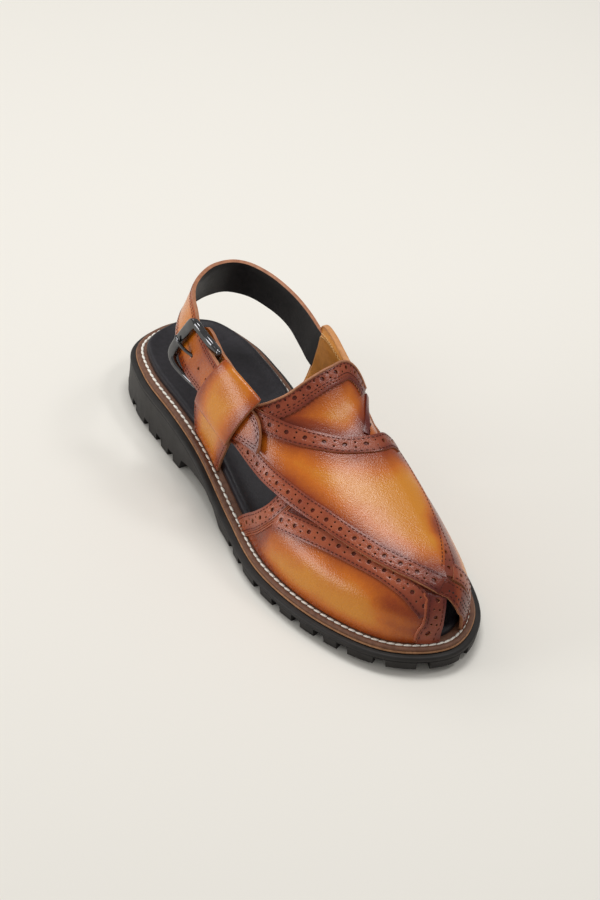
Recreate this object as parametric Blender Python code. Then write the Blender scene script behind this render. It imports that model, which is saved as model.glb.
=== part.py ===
"""Peshawari chappal, right shoe: a leather sandal with two broad crossed straps on a lugged rubber sole.

The shoe stands on z = 0 with its toe towards -Y, its outer (lateral) side towards -X and its inner
(medial) side towards +X. Tables are in millimetres. The upper is drawn on a last: `along` is the
distance from the middle of the shoe towards the heel, and `girth` runs round a section of the last
from 0 at the lateral feather edge, over the ridge, to 1 at the medial feather edge.
"""
import math

import bmesh
import bpy
import numpy as np
from mathutils import Matrix, Vector

MM = 0.001

# ---------------------------------------------------------------- driving sizes, millimetres
HEEL_HEIGHT = 27.0        # top of the welt above the floor, under the heel
BALL_HEIGHT = 11.5        # top of the welt under the ball of the foot
TOE_SPRING = 3.0          # lift of the toe tip
WELT_THICKNESS = 2.9
WELT_WIDTH = 11.0
FEATHER_INSET = 7.5       # the last's feather edge, inside the welt's edge
RUBBER_LEDGE = 2.3        # rubber showing outside the welt
HEEL_FLARE = 3.5
FOREFOOT_FLARE = 2.0
LUG_DEPTH = 4.0
LUG_GAP_WIDTH = 5.0
LUG_LENGTH = 13.0
LEATHER = 2.0             # wall of a strap
STRAP_BED = 1.6           # a strap that crosses others is filled down to this height between them
BAND_RISE = 0.7           # a punched band stands this far above its strap
BAND_STEP = 0.5           # width of the step at a band's edge
ROW_STEP = 0.04           # the same where a band ends along a strap, in rows of its table
STRAP_THICKNESS = 2.2     # heel strap and its billet
STRAP_STAND_OFF = 7.7     # billet's middle above the last, where it runs under the keeper
GAP = 0.3                 # clearance between neighbouring pieces

RING_POINTS = 90          # points round the sole's outline, five to each span of the table
ORIGIN = (0.45, 0.6)      # middle of the shoe's box in last coordinates

# Welt outline, heel to toe by the lateral side and back by the medial side: across, along
WELT_OUTLINE = (
    (-1, 151), (-27.5, 140), (-37.5, 112), (-39.5, 75), (-41, 35), (-46.5, -9), (-51.5, -54),
    (-43, -100), (-23, -137), (8, -150.5), (34.2, -132.6), (48, -95), (52, -49), (40, 0),
    (33.5, 45), (35, 85), (34, 115), (24, 141))

# Last sections: the ridge's place across, its rise above the welt, then for each side the section's
# roundness (1 is an ellipse, less is fuller) and how far it swells outwards
LAST_COLUMNS = ("along", "ridge", "rise", "round_lateral", "round_medial", "swell_lateral", "swell_medial")
LAST_SECTIONS = (
    (75, 2, 110, 1.00, 0.85, 4, 11),
    (45, 5, 99, 1.00, 0.82, 4, 10),
    (20, 9, 89, 0.95, 0.80, 3, 7),
    (0, 12, 78, 0.92, 0.84, 1, 5),
    (-25, 15.5, 62.5, 0.90, 1.13, 0, 0),
    (-50, 17.5, 52.5, 0.86, 1.15, 0, 0),
    (-75, 17.5, 44.5, 0.82, 1.10, 0, 0),
    (-100, 15, 37, 0.78, 1.05, 0, 0),
    (-120, 12, 31, 0.74, 0.95, 0, 0),
    (-134, 9.5, 23, 0.70, 0.80, 0, 0),
    (-140, 8.5, 15, 0.70, 0.70, 0, 0),
    (-143, 8, 4, 0.70, 0.66, 0, 0))

# Straps on the last. Each row is a line across the strap: along and girth of its first edge, height
# of the strap's inside above the last there, then the same three for its second edge.
STRAP_COLUMNS = ("along_1", "girth_1", "lift_1", "along_2", "girth_2", "lift_2")
STRAPS = {
    # lateral front panel, from its rear edge round to the toe opening
    "lateral_front": (
        (-13, 0.00, 0.3, -142.9, 0.00, 0.3),
        (-24, 0.055, 0.3, -142.8, 0.18, 0.3),
        (-33, 0.102, 0.3, -142.4, 0.34, 0.3),
        (-40, 0.160, 0.3, -141.4, 0.45, 0.3),
        (-43, 0.25, 0.3, -137.5, 0.50, 0.3),
        (-50, 0.34, 0.3, -127, 0.50, 0.3)),
    # medial front panel, rear edge and toe edge
    "medial_front": (
        (-58, 0.50, 0.9, -128, 0.49, 0.9),
        (-54, 0.60, 0.9, -131, 0.60, 0.9),
        (-48, 0.70, 0.9, -132, 0.74, 0.9),
        (-40, 0.80, 0.9, -133, 0.86, 0.9),
        (-30, 0.90, 0.9, -134, 0.94, 0.9),
        (-22, 1.00, 0.9, -137, 1.00, 0.9)),
    # medial quarter, its top and rear edge and its front edge
    "medial_quarter": (
        (-6, 0.52, 0.6, -60, 0.44, 0.6),
        (-5, 0.60, 0.6, -56, 0.58, 0.6),
        (-2, 0.68, 0.6, -42, 0.68, 0.6),
        (10, 0.73, 0.6, -30, 0.74, 0.6),
        (28, 0.78, 2.6, -18, 0.80, 0.6),
        (44, 0.832, 5.7, -8, 0.85, 0.6),
        (46, 0.88, 5.5, 0, 0.90, 0.6),
        (48, 0.95, 3.4, 5, 0.95, 0.6),
        (51, 1.00, 0.6, 9, 1.00, 0.6)),
    # lateral quarter, rear edge and front edge
    "lateral_quarter": (
        (53, 0.00, 0.3, 21, 0.00, 0.3),
        (53, 0.057, 0.3, 15, 0.052, 0.3),
        (50, 0.10, 0.3, 10, 0.109, 0.3),
        (44, 0.13, 0.3, 5, 0.165, 0.3),
        (36, 0.165, 0.3, 0, 0.215, 0.3),
        (33, 0.19, 0.3, -4, 0.255, 0.3)),
    # throat piece, collar edge and the edge that lies under the over strap
    "throat": (
        (2, 0.245, 2.0, -10, 0.23, 2.0),
        (-3, 0.295, 2.0, -20, 0.27, 2.0),
        (-6, 0.355, 2.0, -31, 0.305, 2.0),
        (-5.5, 0.43, 2.0, -40, 0.34, 2.0),
        (-4, 0.50, 2.0, -46, 0.375, 2.0),
        (-2, 0.58, 2.0, -49, 0.41, 2.0),
        (-3, 0.635, 2.2, -49, 0.43, 2.2),
        (-6, 0.675, 2.4, -48, 0.45, 2.2),
        (-12, 0.70, 2.6, -46, 0.47, 2.2)),
    # over strap, top and medial edge and then the lower edge; it narrows to the toe strap
    "over_strap": (
        (22, 0.225, 1.2, 24, 0.090, 1.0),
        (2, 0.25, 3.2, 7, 0.126, 1.6),
        (-13, 0.306, 3.4, -11, 0.150, 2.2),
        (-22, 0.349, 3.4, -22, 0.166, 2.2),
        (-30, 0.392, 3.4, -33, 0.184, 2.2),
        (-37, 0.435, 3.4, -43, 0.201, 2.2),
        (-41, 0.480, 3.4, -53, 0.217, 2.2),
        (-42, 0.527, 3.4, -62, 0.231, 2.2),
        (-40, 0.610, 3.3, -70, 0.245, 2.2),
        (-42, 0.670, 3.2, -77, 0.256, 2.2),
        (-52, 0.672, 3.0, -84, 0.268, 2.2),
        (-66, 0.662, 2.9, -92, 0.283, 2.2),
        (-82, 0.652, 2.8, -101, 0.302, 2.2),
        (-98, 0.635, 2.8, -111, 0.326, 2.2),
        (-111, 0.600, 2.7, -120, 0.363, 2.2),
        (-121, 0.560, 2.6, -128, 0.408, 2.2),
        (-128.5, 0.528, 2.6, -134, 0.470, 2.2),
        (-131.5, 0.558, 2.6, -137, 0.505, 2.2),
        (-133, 0.65, 2.6, -139, 0.58, 2.2),
        (-133.5, 0.78, 2.6, -140, 0.73, 2.2),
        (-134, 0.90, 2.4, -139.5, 0.89, 2.2),
        (-136, 1.00, 2.0, -139.5, 1.00, 2.0)),
}

# Punched bands on a strap: width of the band on its first edge and the rows that it runs between, the
# same for its second edge, then the rows between which a band runs right across from edge to edge
BAND_COLUMNS = ("width_1", "from_1", "to_1", "width_2", "from_2", "to_2", "across_from", "across_to")
BANDS = {
    "over_strap": (9.5, 0, 9.2, 9.5, 0, 16, 0, 0),
    "throat": (9.5, 0, 7.6, 0, 0, 0, 0, 0),
    "lateral_front": (9.0, 0, 3, 9.0, 0, 3, 2, 3),
    "medial_front": (9.0, 1.6, 5, 9.0, 1.6, 5, 1.6, 2.4)}

# Keeper loop over the billet, from its lower fold round to its upper fold, read like a strap but
# with the heights of its middle
KEEPER = (
    (40, 0.086, 2.2, 8, 0.108, 2.2),
    (39, 0.098, 6.6, 5, 0.124, 6.6),
    (37.5, 0.115, 10.2, 2, 0.141, 10.2),
    (33, 0.170, 10.6, 0, 0.205, 10.6),
    (28.5, 0.222, 10.6, -1, 0.255, 10.6),
    (27, 0.250, 9.2, -1, 0.283, 9.4),
    (29, 0.244, 5.6, 0, 0.282, 6.6),
    (34, 0.205, 1.8, 2, 0.255, 4.2))

# Heel strap round the heel, from its medial end to the buckle: across, along and height of its
# lower edge, then of its upper edge
HEEL_STRAP = (
    (32.3, 32.9, 56.4, 35, 31.9, 78.4),
    (32.8, 46.8, 56.5, 36.6, 45.8, 79),
    (36, 62, 56.5, 37.5, 60, 81),
    (37.5, 80, 59.5, 36, 77, 84),
    (34, 97, 62, 30, 94, 88),
    (26, 108.5, 65.5, 22, 103.5, 91),
    (15, 113.5, 68.5, 13.5, 106.5, 93),
    (2, 112.5, 70, 1, 105.5, 94),
    (-9, 108, 71, -10, 99, 94.5),
    (-19, 101, 72, -18.5, 90.5, 95),
    (-28, 90, 73, -25, 79, 95),
    (-34.5, 79, 72.5, -28.5, 69, 94),
    (-37.8, 70.5, 69, -31, 61.5, 91),
    (-39, 59, 63, -32, 49.5, 86))

# Billet under the keeper: along and girth of its lower edge, then of its upper edge
BILLET = (
    (40, 0.127, 32, 0.222),
    (22, 0.134, 16, 0.232),
    (4, 0.153, 1, 0.246),
    (-6, 0.178, -6, 0.251),
    (-13, 0.197, -12, 0.238),
    (-17, 0.208, -16, 0.219))

# Buckle: distances along the heel strap's path, then sizes
END_BAR_AT = 160.5
PIVOT_AT = 185.5
PRONG_HOLE_AT = 171.0
SPARE_HOLE_AT = 182.0
HOLES_ACROSS = -1.5       # the holes and the prong, from the strap's middle line
PRONG_HOLE = 2.5          # radii
SPARE_HOLE = 1.5
BUCKLE_BAR = 2.0
PIVOT_BAR = 1.3
PRONG = 1.0
BUCKLE_HALF_WIDTH = 15.2
BUCKLE_CORNER = 4.5
CHAPE_REACH = (158, 206)  # stretch of the path over which the chape backs the buckle
CHAPE_LIFT = -6.4
CHAPE_WIDEN = 1.2


# ---------------------------------------------------------------- curves and the last
def smooth(knots, rows, where):
    """Values of a smooth curve through rows at the given knots, read at `where`."""
    knots = np.asarray(knots, float)
    rows = np.asarray(rows, float)
    where = np.clip(np.asarray(where, float), knots[0], knots[-1])
    step = np.diff(knots)
    slope = np.diff(rows, axis=0) / step[:, None]
    tangent = np.empty_like(rows)
    tangent[0], tangent[-1] = slope[0], slope[-1]
    weight = step[:-1, None] / (step[:-1] + step[1:])[:, None]
    tangent[1:-1] = slope[:-1] * (1 - weight) + slope[1:] * weight
    span = np.clip(np.searchsorted(knots, where, side="right") - 1, 0, len(knots) - 2)
    width = step[span]
    u = (where - knots[span]) / width
    u, width = u[..., None], width[..., None]
    return ((2 * u**3 - 3 * u**2 + 1) * rows[span] + (u**3 - 2 * u**2 + u) * width * tangent[span]
            + (3 * u**2 - 2 * u**3) * rows[span + 1] + (u**3 - u**2) * width * tangent[span + 1])


def closed_curve(points, count):
    """A closed smooth curve of `count` points through the given ones."""
    points = np.asarray(points, float)
    extended = np.vstack([points[-3:], points, points[:3]])
    knots = np.arange(len(extended)) - 3
    return smooth(knots, extended, np.arange(count) * len(points) / count)


def outward(ring):
    """Unit normals of a closed ring, pointing away from it."""
    chord = np.roll(ring, -1, axis=0) - np.roll(ring, 1, axis=0)
    normal = np.stack([chord[:, 1], -chord[:, 0]], axis=1)
    normal /= np.linalg.norm(normal, axis=1)[:, None]
    return normal if np.sum((ring - ring.mean(axis=0)) * normal) > 0 else -normal


def ease(value):
    """A smooth step from 0 to 1."""
    value = np.clip(value, 0, 1)
    return value * value * (3 - 2 * value)


def welt_top(along):
    """Height of the welt's top face."""
    lift = TOE_SPRING * np.clip((-40 - along) / 110, 0, None) ** 2
    return HEEL_HEIGHT + (BALL_HEIGHT - HEEL_HEIGHT) * ease((75 - along) / 110) + lift


def ground(along):
    """Height of the lugs' lower faces: the floor, then the toe spring."""
    return TOE_SPRING * np.clip((-55 - along) / 95, 0, None) ** 2


def feather_edges():
    """The last's feather edge as two runs over `along`: lateral and medial."""
    fine = closed_curve(WELT_OUTLINE, 16 * RING_POINTS)
    fine = fine - outward(fine) * FEATHER_INSET
    toe, heel = np.argmin(fine[:, 1]), np.argmax(fine[:, 1])
    turned = np.roll(fine, -heel, axis=0)
    toe = (toe - heel) % len(fine)
    lateral, medial = turned[:toe + 1], turned[toe:]
    return lateral[np.argsort(lateral[:, 1])], medial[np.argsort(medial[:, 1])]


LATERAL_FEATHER, MEDIAL_FEATHER = feather_edges()
LAST_ALONG = [row[0] for row in reversed(LAST_SECTIONS)]
LAST_VALUES = [row[1:] for row in reversed(LAST_SECTIONS)]


def last_point(along, girth):
    """A point of the bare last."""
    section = dict(zip(LAST_COLUMNS[1:], np.moveaxis(smooth(LAST_ALONG, LAST_VALUES, along), -1, 0)))
    ridge = section["ridge"]
    lateral = np.interp(along, LATERAL_FEATHER[:, 1], LATERAL_FEATHER[:, 0])
    medial = np.interp(along, MEDIAL_FEATHER[:, 1], MEDIAL_FEATHER[:, 0])
    angle = girth * math.pi
    cosine, sine = np.cos(angle), np.abs(np.sin(angle))
    on_lateral = cosine > 0
    roundness = np.where(on_lateral, section["round_lateral"], section["round_medial"])
    reach = np.abs(cosine) ** roundness
    swell = np.abs(np.sin(2 * angle))
    x = np.where(on_lateral, ridge + (lateral - ridge) * reach - section["swell_lateral"] * swell,
                 ridge + (medial - ridge) * reach + section["swell_medial"] * swell)
    z = welt_top(along) + 2 * GAP + section["rise"] * sine ** roundness
    return np.stack([x, along + 0 * x, z], axis=-1)


def on_last(along, girth, lift):
    """A point at a height above the last's surface."""
    along, girth, lift = np.broadcast_arrays(
        np.asarray(along, float), np.asarray(girth, float), np.asarray(lift, float))
    inside = np.clip(girth, 0.01, 0.99)
    along_way = last_point(along + 0.5, inside) - last_point(along - 0.5, inside)
    girth_way = last_point(along, inside + 0.0005) - last_point(along, inside - 0.0005)
    normal = np.cross(girth_way, along_way)
    normal /= np.linalg.norm(normal, axis=-1)[..., None]
    return last_point(along, girth) + normal * lift[..., None]


# ---------------------------------------------------------------- meshes and objects
def collection(name):
    made = bpy.data.collections.new(name)
    bpy.context.scene.collection.children.link(made)
    return made


def material(name, colour, roughness, metallic=0.0):
    made = bpy.data.materials.new(name)
    made.use_nodes = True
    shader = made.node_tree.nodes["Principled BSDF"]
    shader.inputs["Base Color"].default_value = (*colour, 1.0)
    shader.inputs["Roughness"].default_value = roughness
    shader.inputs["Metallic"].default_value = metallic
    return made


def solid_from(name, points, faces, group):
    """An object from points in millimetres, its faces made triangles that point outwards."""
    mesh = bpy.data.meshes.new(name)
    mesh.from_pydata([tuple(p) for p in np.asarray(points) * MM], [], faces)
    work = bmesh.new()
    work.from_mesh(mesh)
    bmesh.ops.triangulate(work, faces=work.faces)
    bmesh.ops.recalc_face_normals(work, faces=work.faces)
    work.to_mesh(mesh)
    work.free()
    made = bpy.data.objects.new(name, mesh)
    group.objects.link(made)
    return made


def as_cutter(made):
    made.hide_render = True
    made.display_type = "WIRE"
    return made


def boolean(target, tool, operation, folded=False):
    """Join or cut with an object from the cutters' collection; `folded` pieces may cross themselves."""
    step = target.modifiers.new(tool.name, "BOOLEAN")
    step.operation = operation
    step.object = as_cutter(tool)
    step.solver = "EXACT"
    step.use_self = folded


def sheet_solid(name, inner, outer, group):
    """A closed wall between two grids of points of the same size."""
    rows, columns = inner.shape[:2]
    count = rows * columns

    def at(i, j, layer):
        return layer * count + i * columns + j
    faces = []
    for i in range(rows - 1):
        for j in range(columns - 1):
            corners = ((i, j), (i + 1, j), (i + 1, j + 1), (i, j + 1))
            faces.append([at(a, b, 0) for a, b in corners])
            faces.append([at(a, b, 1) for a, b in reversed(corners)])
    rim = [(i, 0) for i in range(rows)] + [(rows - 1, j) for j in range(1, columns)]
    rim += [(i, columns - 1) for i in range(rows - 2, -1, -1)] + [(0, j) for j in range(columns - 2, 0, -1)]
    for (a, b), (c, d) in zip(rim, rim[1:] + rim[:1]):
        faces.append([at(a, b, 0), at(a, b, 1), at(c, d, 1), at(c, d, 0)])
    points = np.concatenate([inner.reshape(-1, 3), outer.reshape(-1, 3)])
    return solid_from(name, points, faces, group)


def ring_solid(name, rings, group, filled):
    """A solid lofted through rings: with flat ends where `filled`, else closed on itself."""
    count = len(rings[0])
    faces = []
    pairs = list(zip(range(len(rings) - 1), range(1, len(rings))))
    if not filled:
        pairs.append((len(rings) - 1, 0))
    for low, high in pairs:
        for i in range(count):
            k = (i + 1) % count
            faces.append([low * count + i, low * count + k, high * count + k, high * count + i])
    if filled:
        for base in (0, (len(rings) - 1) * count):
            for i in range(count // 2):
                ends = [i, i + 1, (count - i - 1) % count, (count - i) % count]
                faces.append([base + e for e in dict.fromkeys(ends)])
    return solid_from(name, np.concatenate(rings), faces, group)


# ---------------------------------------------------------------- sole
OUTLINE = closed_curve(WELT_OUTLINE, RING_POINTS)
OUTLINE_NORMAL = outward(OUTLINE)


def outline_ring(offset, height):
    """The welt's outline moved outwards by `offset`, at height(along)."""
    flat = OUTLINE + OUTLINE_NORMAL * np.broadcast_to(offset, (RING_POINTS,))[:, None]
    return np.column_stack([flat, height(flat[:, 1])])


def flare():
    """How far the rubber's foot stands outside the welt, more at the heel."""
    return FOREFOOT_FLARE + (HEEL_FLARE - FOREFOOT_FLARE) * ease((OUTLINE[:, 1] - 20) / 60)


WAIST_PROFILE = ((56, -2), (52.5, 7), (46, 8.2), (22, 9), (8, 6), (-5, -2))   # along, height
LATERAL_LUG_GAPS = (56, 75, 91, 106, 193, 208, 228, 245, 261, 277, 292, 313, 335)
MEDIAL_LUG_GAPS = (358, 379, 398, 414, 430, 446, 464, 482, 500, 592, 608, 624, 642, 662, 682)
REAR_LUG_GAPS = (16, 36)
CENTRE_LUGS = ((0, -24), (0, -48), (2, -72), (5, -96), (-2, 86), (-2, 112))   # across, along


def box(name, centre, size, turn, group):
    """A box with its centre, size and turn about Z, millimetres."""
    work = bmesh.new()
    bmesh.ops.create_cube(work, size=1.0)
    bmesh.ops.scale(work, vec=Vector(size) * MM, verts=work.verts)
    place = Matrix.Translation(Vector(centre) * MM) @ Matrix.Rotation(turn, 4, "Z")
    bmesh.ops.transform(work, matrix=place, verts=work.verts)
    bmesh.ops.triangulate(work, faces=work.faces)
    mesh = bpy.data.meshes.new(name)
    work.to_mesh(mesh)
    work.free()
    made = bpy.data.objects.new(name, mesh)
    group.objects.link(made)
    return made


def joined(name, pieces, group):
    """One object from several that don't touch each other."""
    work = bmesh.new()
    for piece in pieces:
        work.from_mesh(piece.data)
    mesh = bpy.data.meshes.new(name)
    work.to_mesh(mesh)
    work.free()
    for piece in pieces:
        bpy.data.objects.remove(piece)
    made = bpy.data.objects.new(name, mesh)
    group.objects.link(made)
    return made


def waist_cutter(group):
    """A prism across the sole that leaves the heel's breast and the arch."""
    half = 80
    count = len(WAIST_PROFILE)
    points = [(x, y, z) for x in (-half, half) for y, z in WAIST_PROFILE]
    faces = [[i for i in range(count)], [count + i for i in range(count)]]
    faces += [[i, (i + 1) % count, count + (i + 1) % count, count + i] for i in range(count)]
    return solid_from("waist_cutter", points, faces, group)


def lug_gap_cutter(group):
    """A short groove into the rubber's edge at each lug gap."""
    fine = closed_curve(WELT_OUTLINE, 20 * RING_POINTS)
    normal = outward(fine)
    travelled = np.concatenate([[0], np.cumsum(np.linalg.norm(np.diff(fine, axis=0), axis=1))])
    pieces = []
    for arc in LATERAL_LUG_GAPS + MEDIAL_LUG_GAPS + REAR_LUG_GAPS:
        k = int(np.argmin(np.abs(travelled - arc)))
        reach = LUG_LENGTH + 8
        centre = fine[k] + normal[k] * (8 - reach / 2)
        top = ground(fine[k][1]) + LUG_DEPTH
        height = top + 2
        turn = math.atan2(normal[k][1], normal[k][0])
        pieces.append(box("gap", (*centre, top - height / 2), (reach, LUG_GAP_WIDTH, height), turn, group))
    return joined("lug_gap_cutter", pieces, group)


def field_cutter(name, low, high, group):
    """The shallow field inside the edge lugs, between two distances along the shoe."""
    ring = OUTLINE - OUTLINE_NORMAL * (LUG_LENGTH - 1)
    middle = ring[:, 0].mean()
    inside = (ring[:, 1] > low) & (ring[:, 1] < high)
    sides = [ring[inside & (ring[:, 0] < middle)], ring[inside & (ring[:, 0] >= middle)]]
    lateral, medial = (side[np.argsort(side[:, 1])] for side in sides)
    loop = np.vstack([lateral, medial[::-1]])
    count = len(loop)
    floor = np.full(count, -2.0)
    ceiling = ground(loop[:, 1]) + LUG_DEPTH - 0.6
    points = np.vstack([np.column_stack([loop, floor]), np.column_stack([loop, ceiling])])
    faces = [list(range(count)), list(range(count, 2 * count))]
    faces += [[i, (i + 1) % count, count + (i + 1) % count, count + i] for i in range(count)]
    return solid_from(name, points, faces, group)


def centre_lugs(group):
    """Pairs of slanted blocks down the middle of the sole."""
    pieces = []
    for across, along in CENTRE_LUGS:
        for side in (-1, 1):
            centre = (across + side * 12, along, ground(along) + (LUG_DEPTH + 1) / 2)
            pieces.append(box("lug", centre, (17, 9, LUG_DEPTH + 1), side * math.radians(25), group))
    return joined("centre_lugs", pieces, group)


def make_outsole(group, cutters):
    foot = flare()
    rings = [
        outline_ring(foot - 1.0, ground),
        outline_ring(foot, lambda y: ground(y) + 1.0),
        outline_ring(RUBBER_LEDGE + 0.5, lambda y: welt_top(y) - WELT_THICKNESS - GAP - 2.2),
        outline_ring(RUBBER_LEDGE + 0.5, lambda y: welt_top(y) - WELT_THICKNESS - GAP - 0.8),
        outline_ring(RUBBER_LEDGE - 0.3, lambda y: welt_top(y) - WELT_THICKNESS - GAP)]
    sole = ring_solid("outsole", rings, group, filled=True)
    boolean(sole, waist_cutter(cutters), "DIFFERENCE")
    boolean(sole, field_cutter("forefoot_field", -122, -12, cutters), "DIFFERENCE")
    boolean(sole, field_cutter("heel_field", 68, 128, cutters), "DIFFERENCE")
    boolean(sole, lug_gap_cutter(cutters), "DIFFERENCE")
    boolean(sole, centre_lugs(cutters), "UNION")
    return sole


def welt_bottom(along):
    return welt_top(along) - WELT_THICKNESS


def make_welt(group):
    rings = [
        outline_ring(-WELT_WIDTH, welt_bottom),
        outline_ring(0, welt_bottom),
        outline_ring(0, lambda y: welt_top(y) - 0.7),
        outline_ring(-0.7, welt_top),
        outline_ring(-WELT_WIDTH, welt_top)]
    return ring_solid("welt", rings, group, filled=False)


INSOLE_EDGE = -FEATHER_INSET - 0.7    # edge of the insole's raised part, from the welt's outline
INSOLE_RIM = 4.6                      # its rolled rim above the welt


def insole_room(group):
    """The insole's raised part with its clearance, cut out of the straps at the toe."""
    rings = [outline_ring(INSOLE_EDGE + GAP, lambda y: welt_top(y) - 1.0),
             outline_ring(INSOLE_EDGE + GAP, lambda y: welt_top(y) + INSOLE_RIM + GAP)]
    return ring_solid("insole_room", rings, group, filled=True)


def make_insole(group):
    """Footbed that fills the welt and rises to a rolled rim inside the straps."""
    stem = -WELT_WIDTH - GAP
    edge = INSOLE_EDGE
    rings = [
        outline_ring(stem, lambda y: welt_top(y) - WELT_THICKNESS + 0.1),
        outline_ring(stem, lambda y: welt_top(y) + GAP),
        outline_ring(edge, lambda y: welt_top(y) + GAP),
        outline_ring(edge, lambda y: welt_top(y) + 3.4),
        outline_ring(edge - 1.3, lambda y: welt_top(y) + INSOLE_RIM),
        outline_ring(edge - 5.0, lambda y: welt_top(y) + 3.6)]
    return ring_solid("insole", rings, group, filled=True)


# ---------------------------------------------------------------- upper
def stations(last, count, steps):
    """`count` even values from 0 to `last`, with both sides of each step added."""
    even = np.linspace(0, last, count)
    edges = [value for step in steps if 0 < step < last for value in (step, step + ROW_STEP)]
    clear = [v for v in even if all(abs(v - edge) > 0.1 for edge in edges)]
    return np.array(sorted(clear + edges))


def between(rows, start, end):
    """Where a band between two of a strap's rows is raised, inside the steps that `stations` adds."""
    begin = start + ROW_STEP if start > 0 else start
    return (rows > begin - ROW_STEP / 2) & (rows < end + ROW_STEP / 2) & (end > start)


def strap_patch(name, rows, columns, group, bed=math.inf):
    """The solid of one strap; its inside is taken down to `bed`, so that no hollow is sealed in."""
    table = np.asarray(STRAPS[name], float)
    last = len(table) - 1
    band = dict(zip(BAND_COLUMNS, BANDS.get(name, (0,) * len(BAND_COLUMNS))))
    row_at = stations(last, rows, sorted({band[column] for column in BAND_COLUMNS if "width" not in column}))
    lines = smooth(np.arange(len(table)), table, row_at)
    edge = dict(zip(STRAP_COLUMNS, lines.T))
    first = on_last(edge["along_1"], edge["girth_1"], edge["lift_1"])
    second = on_last(edge["along_2"], edge["girth_2"], edge["lift_2"])
    width = np.linalg.norm(second - first, axis=1)
    low = np.minimum(band["width_1"] / width, 0.4)
    high = 1 - np.minimum(band["width_2"] / width, 0.4)
    step = BAND_STEP / width
    share = np.linspace(low + step, high - step, columns, axis=1)
    raised = np.repeat(between(row_at, band["across_from"], band["across_to"])[:, None], columns, axis=1)
    if band["width_1"]:
        share = np.column_stack([0 * low, low, share])
        on_edge = between(row_at, band["from_1"], band["to_1"]) | raised[:, 0]
        raised = np.column_stack([on_edge, on_edge, raised])
    if band["width_2"]:
        share = np.column_stack([share, high, 0 * high + 1])
        on_edge = between(row_at, band["from_2"], band["to_2"]) | raised[:, -1]
        raised = np.column_stack([raised, on_edge, on_edge])
    share[:, 0], share[:, -1] = 0, 1
    share = share[..., None]
    grid = lines[:, None, :3] * (1 - share) + lines[:, None, 3:] * share
    inner = on_last(grid[..., 0], grid[..., 1], np.minimum(grid[..., 2], bed))
    outer = on_last(grid[..., 0], grid[..., 1], grid[..., 2] + LEATHER + BAND_RISE * raised)
    return sheet_solid(name, inner, outer, group)


def thick_sheet(name, middle, thickness, group):
    """A wall of even thickness round a grid of its middle points."""
    normal = np.cross(np.gradient(middle, axis=0), np.gradient(middle, axis=1))
    normal *= thickness / 2 / np.linalg.norm(normal, axis=-1)[..., None]
    return sheet_solid(name, middle - normal, middle + normal, group)


def keeper_loop(group):
    table = np.asarray(KEEPER, float)
    lines = smooth(np.arange(len(table)), table, np.linspace(0, len(table) - 1, 16))
    share = np.linspace(0, 1, 5)[None, :, None]
    grid = lines[:, None, :3] * (1 - share) + lines[:, None, 3:] * share
    return thick_sheet("keeper", on_last(grid[..., 0], grid[..., 1], grid[..., 2]), LEATHER, group)


def billet_edges():
    table = np.asarray(BILLET, float)
    low = on_last(table[:, 0], table[:, 1], STRAP_STAND_OFF)
    top = on_last(table[:, 2], table[:, 3], STRAP_STAND_OFF)
    return np.hstack([low, top])


HEEL_STRAP_ROWS = np.vstack([HEEL_STRAP, billet_edges()])
HEEL_STRAP_KNOTS = np.concatenate([[0], np.cumsum(np.linalg.norm(
    np.diff((HEEL_STRAP_ROWS[:, :3] + HEEL_STRAP_ROWS[:, 3:]) / 2, axis=0), axis=1))])


def strap_frame(where):
    """Lower edge, upper edge and outward normal of the heel strap at distances from its end."""
    where = np.asarray(where, float)
    edges = smooth(HEEL_STRAP_KNOTS, HEEL_STRAP_ROWS, where)
    ahead = smooth(HEEL_STRAP_KNOTS, HEEL_STRAP_ROWS, where + 0.5)
    behind = smooth(HEEL_STRAP_KNOTS, HEEL_STRAP_ROWS, where - 0.5)
    run = (ahead - behind)[..., :3] + (ahead - behind)[..., 3:]
    normal = np.cross(edges[..., 3:] - edges[..., :3], run)
    normal /= np.linalg.norm(normal, axis=-1)[..., None]
    return edges[..., :3], edges[..., 3:], -normal


def by_strap(where, across, out):
    """A point by the heel strap: along its path, up from its middle line and out from its middle."""
    low, top, normal = strap_frame(where)
    up = (top - low) / np.linalg.norm(top - low, axis=-1)[..., None]
    return (low + top) / 2 + up * np.asarray(across)[..., None] + normal * np.asarray(out)[..., None]


def make_chape(group):
    """The leather behind the buckle, with a rounded rear end."""
    start, end = CHAPE_REACH
    where = start + (end - start) * np.linspace(0, 1, 11) ** 1.4
    low, top, normal = strap_frame(where)
    half = np.linalg.norm(top - low, axis=1) / 2 + CHAPE_WIDEN
    turn = half.max() * 0.8
    half *= 0.35 + 0.65 * np.sqrt(1 - np.clip((start + turn - where) / turn, 0, 1) ** 2)
    across = half[:, None] * np.linspace(-1, 1, 5)
    middle = by_strap(where[:, None] + 0 * across, across, CHAPE_LIFT + 0 * across)
    return thick_sheet("chape", middle, LEATHER, group)


def make_upper(group, cutters):
    """All the straps, joined where they cross."""
    upper = strap_patch("over_strap", 27, 6, group, STRAP_BED)
    upper.name = "upper"
    for name, rows, columns in (
            ("throat", 11, 5), ("medial_quarter", 13, 7), ("medial_front", 9, 8),
            ("lateral_front", 10, 12), ("lateral_quarter", 8, 5)):
        bed = STRAP_BED if name == "throat" else math.inf
        boolean(upper, strap_patch(name, rows, columns, cutters, bed), "UNION", folded=True)
    boolean(upper, keeper_loop(cutters), "UNION", folded=True)
    boolean(upper, make_chape(cutters), "UNION", folded=True)
    boolean(upper, insole_room(cutters), "DIFFERENCE", folded=True)
    return upper


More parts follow.
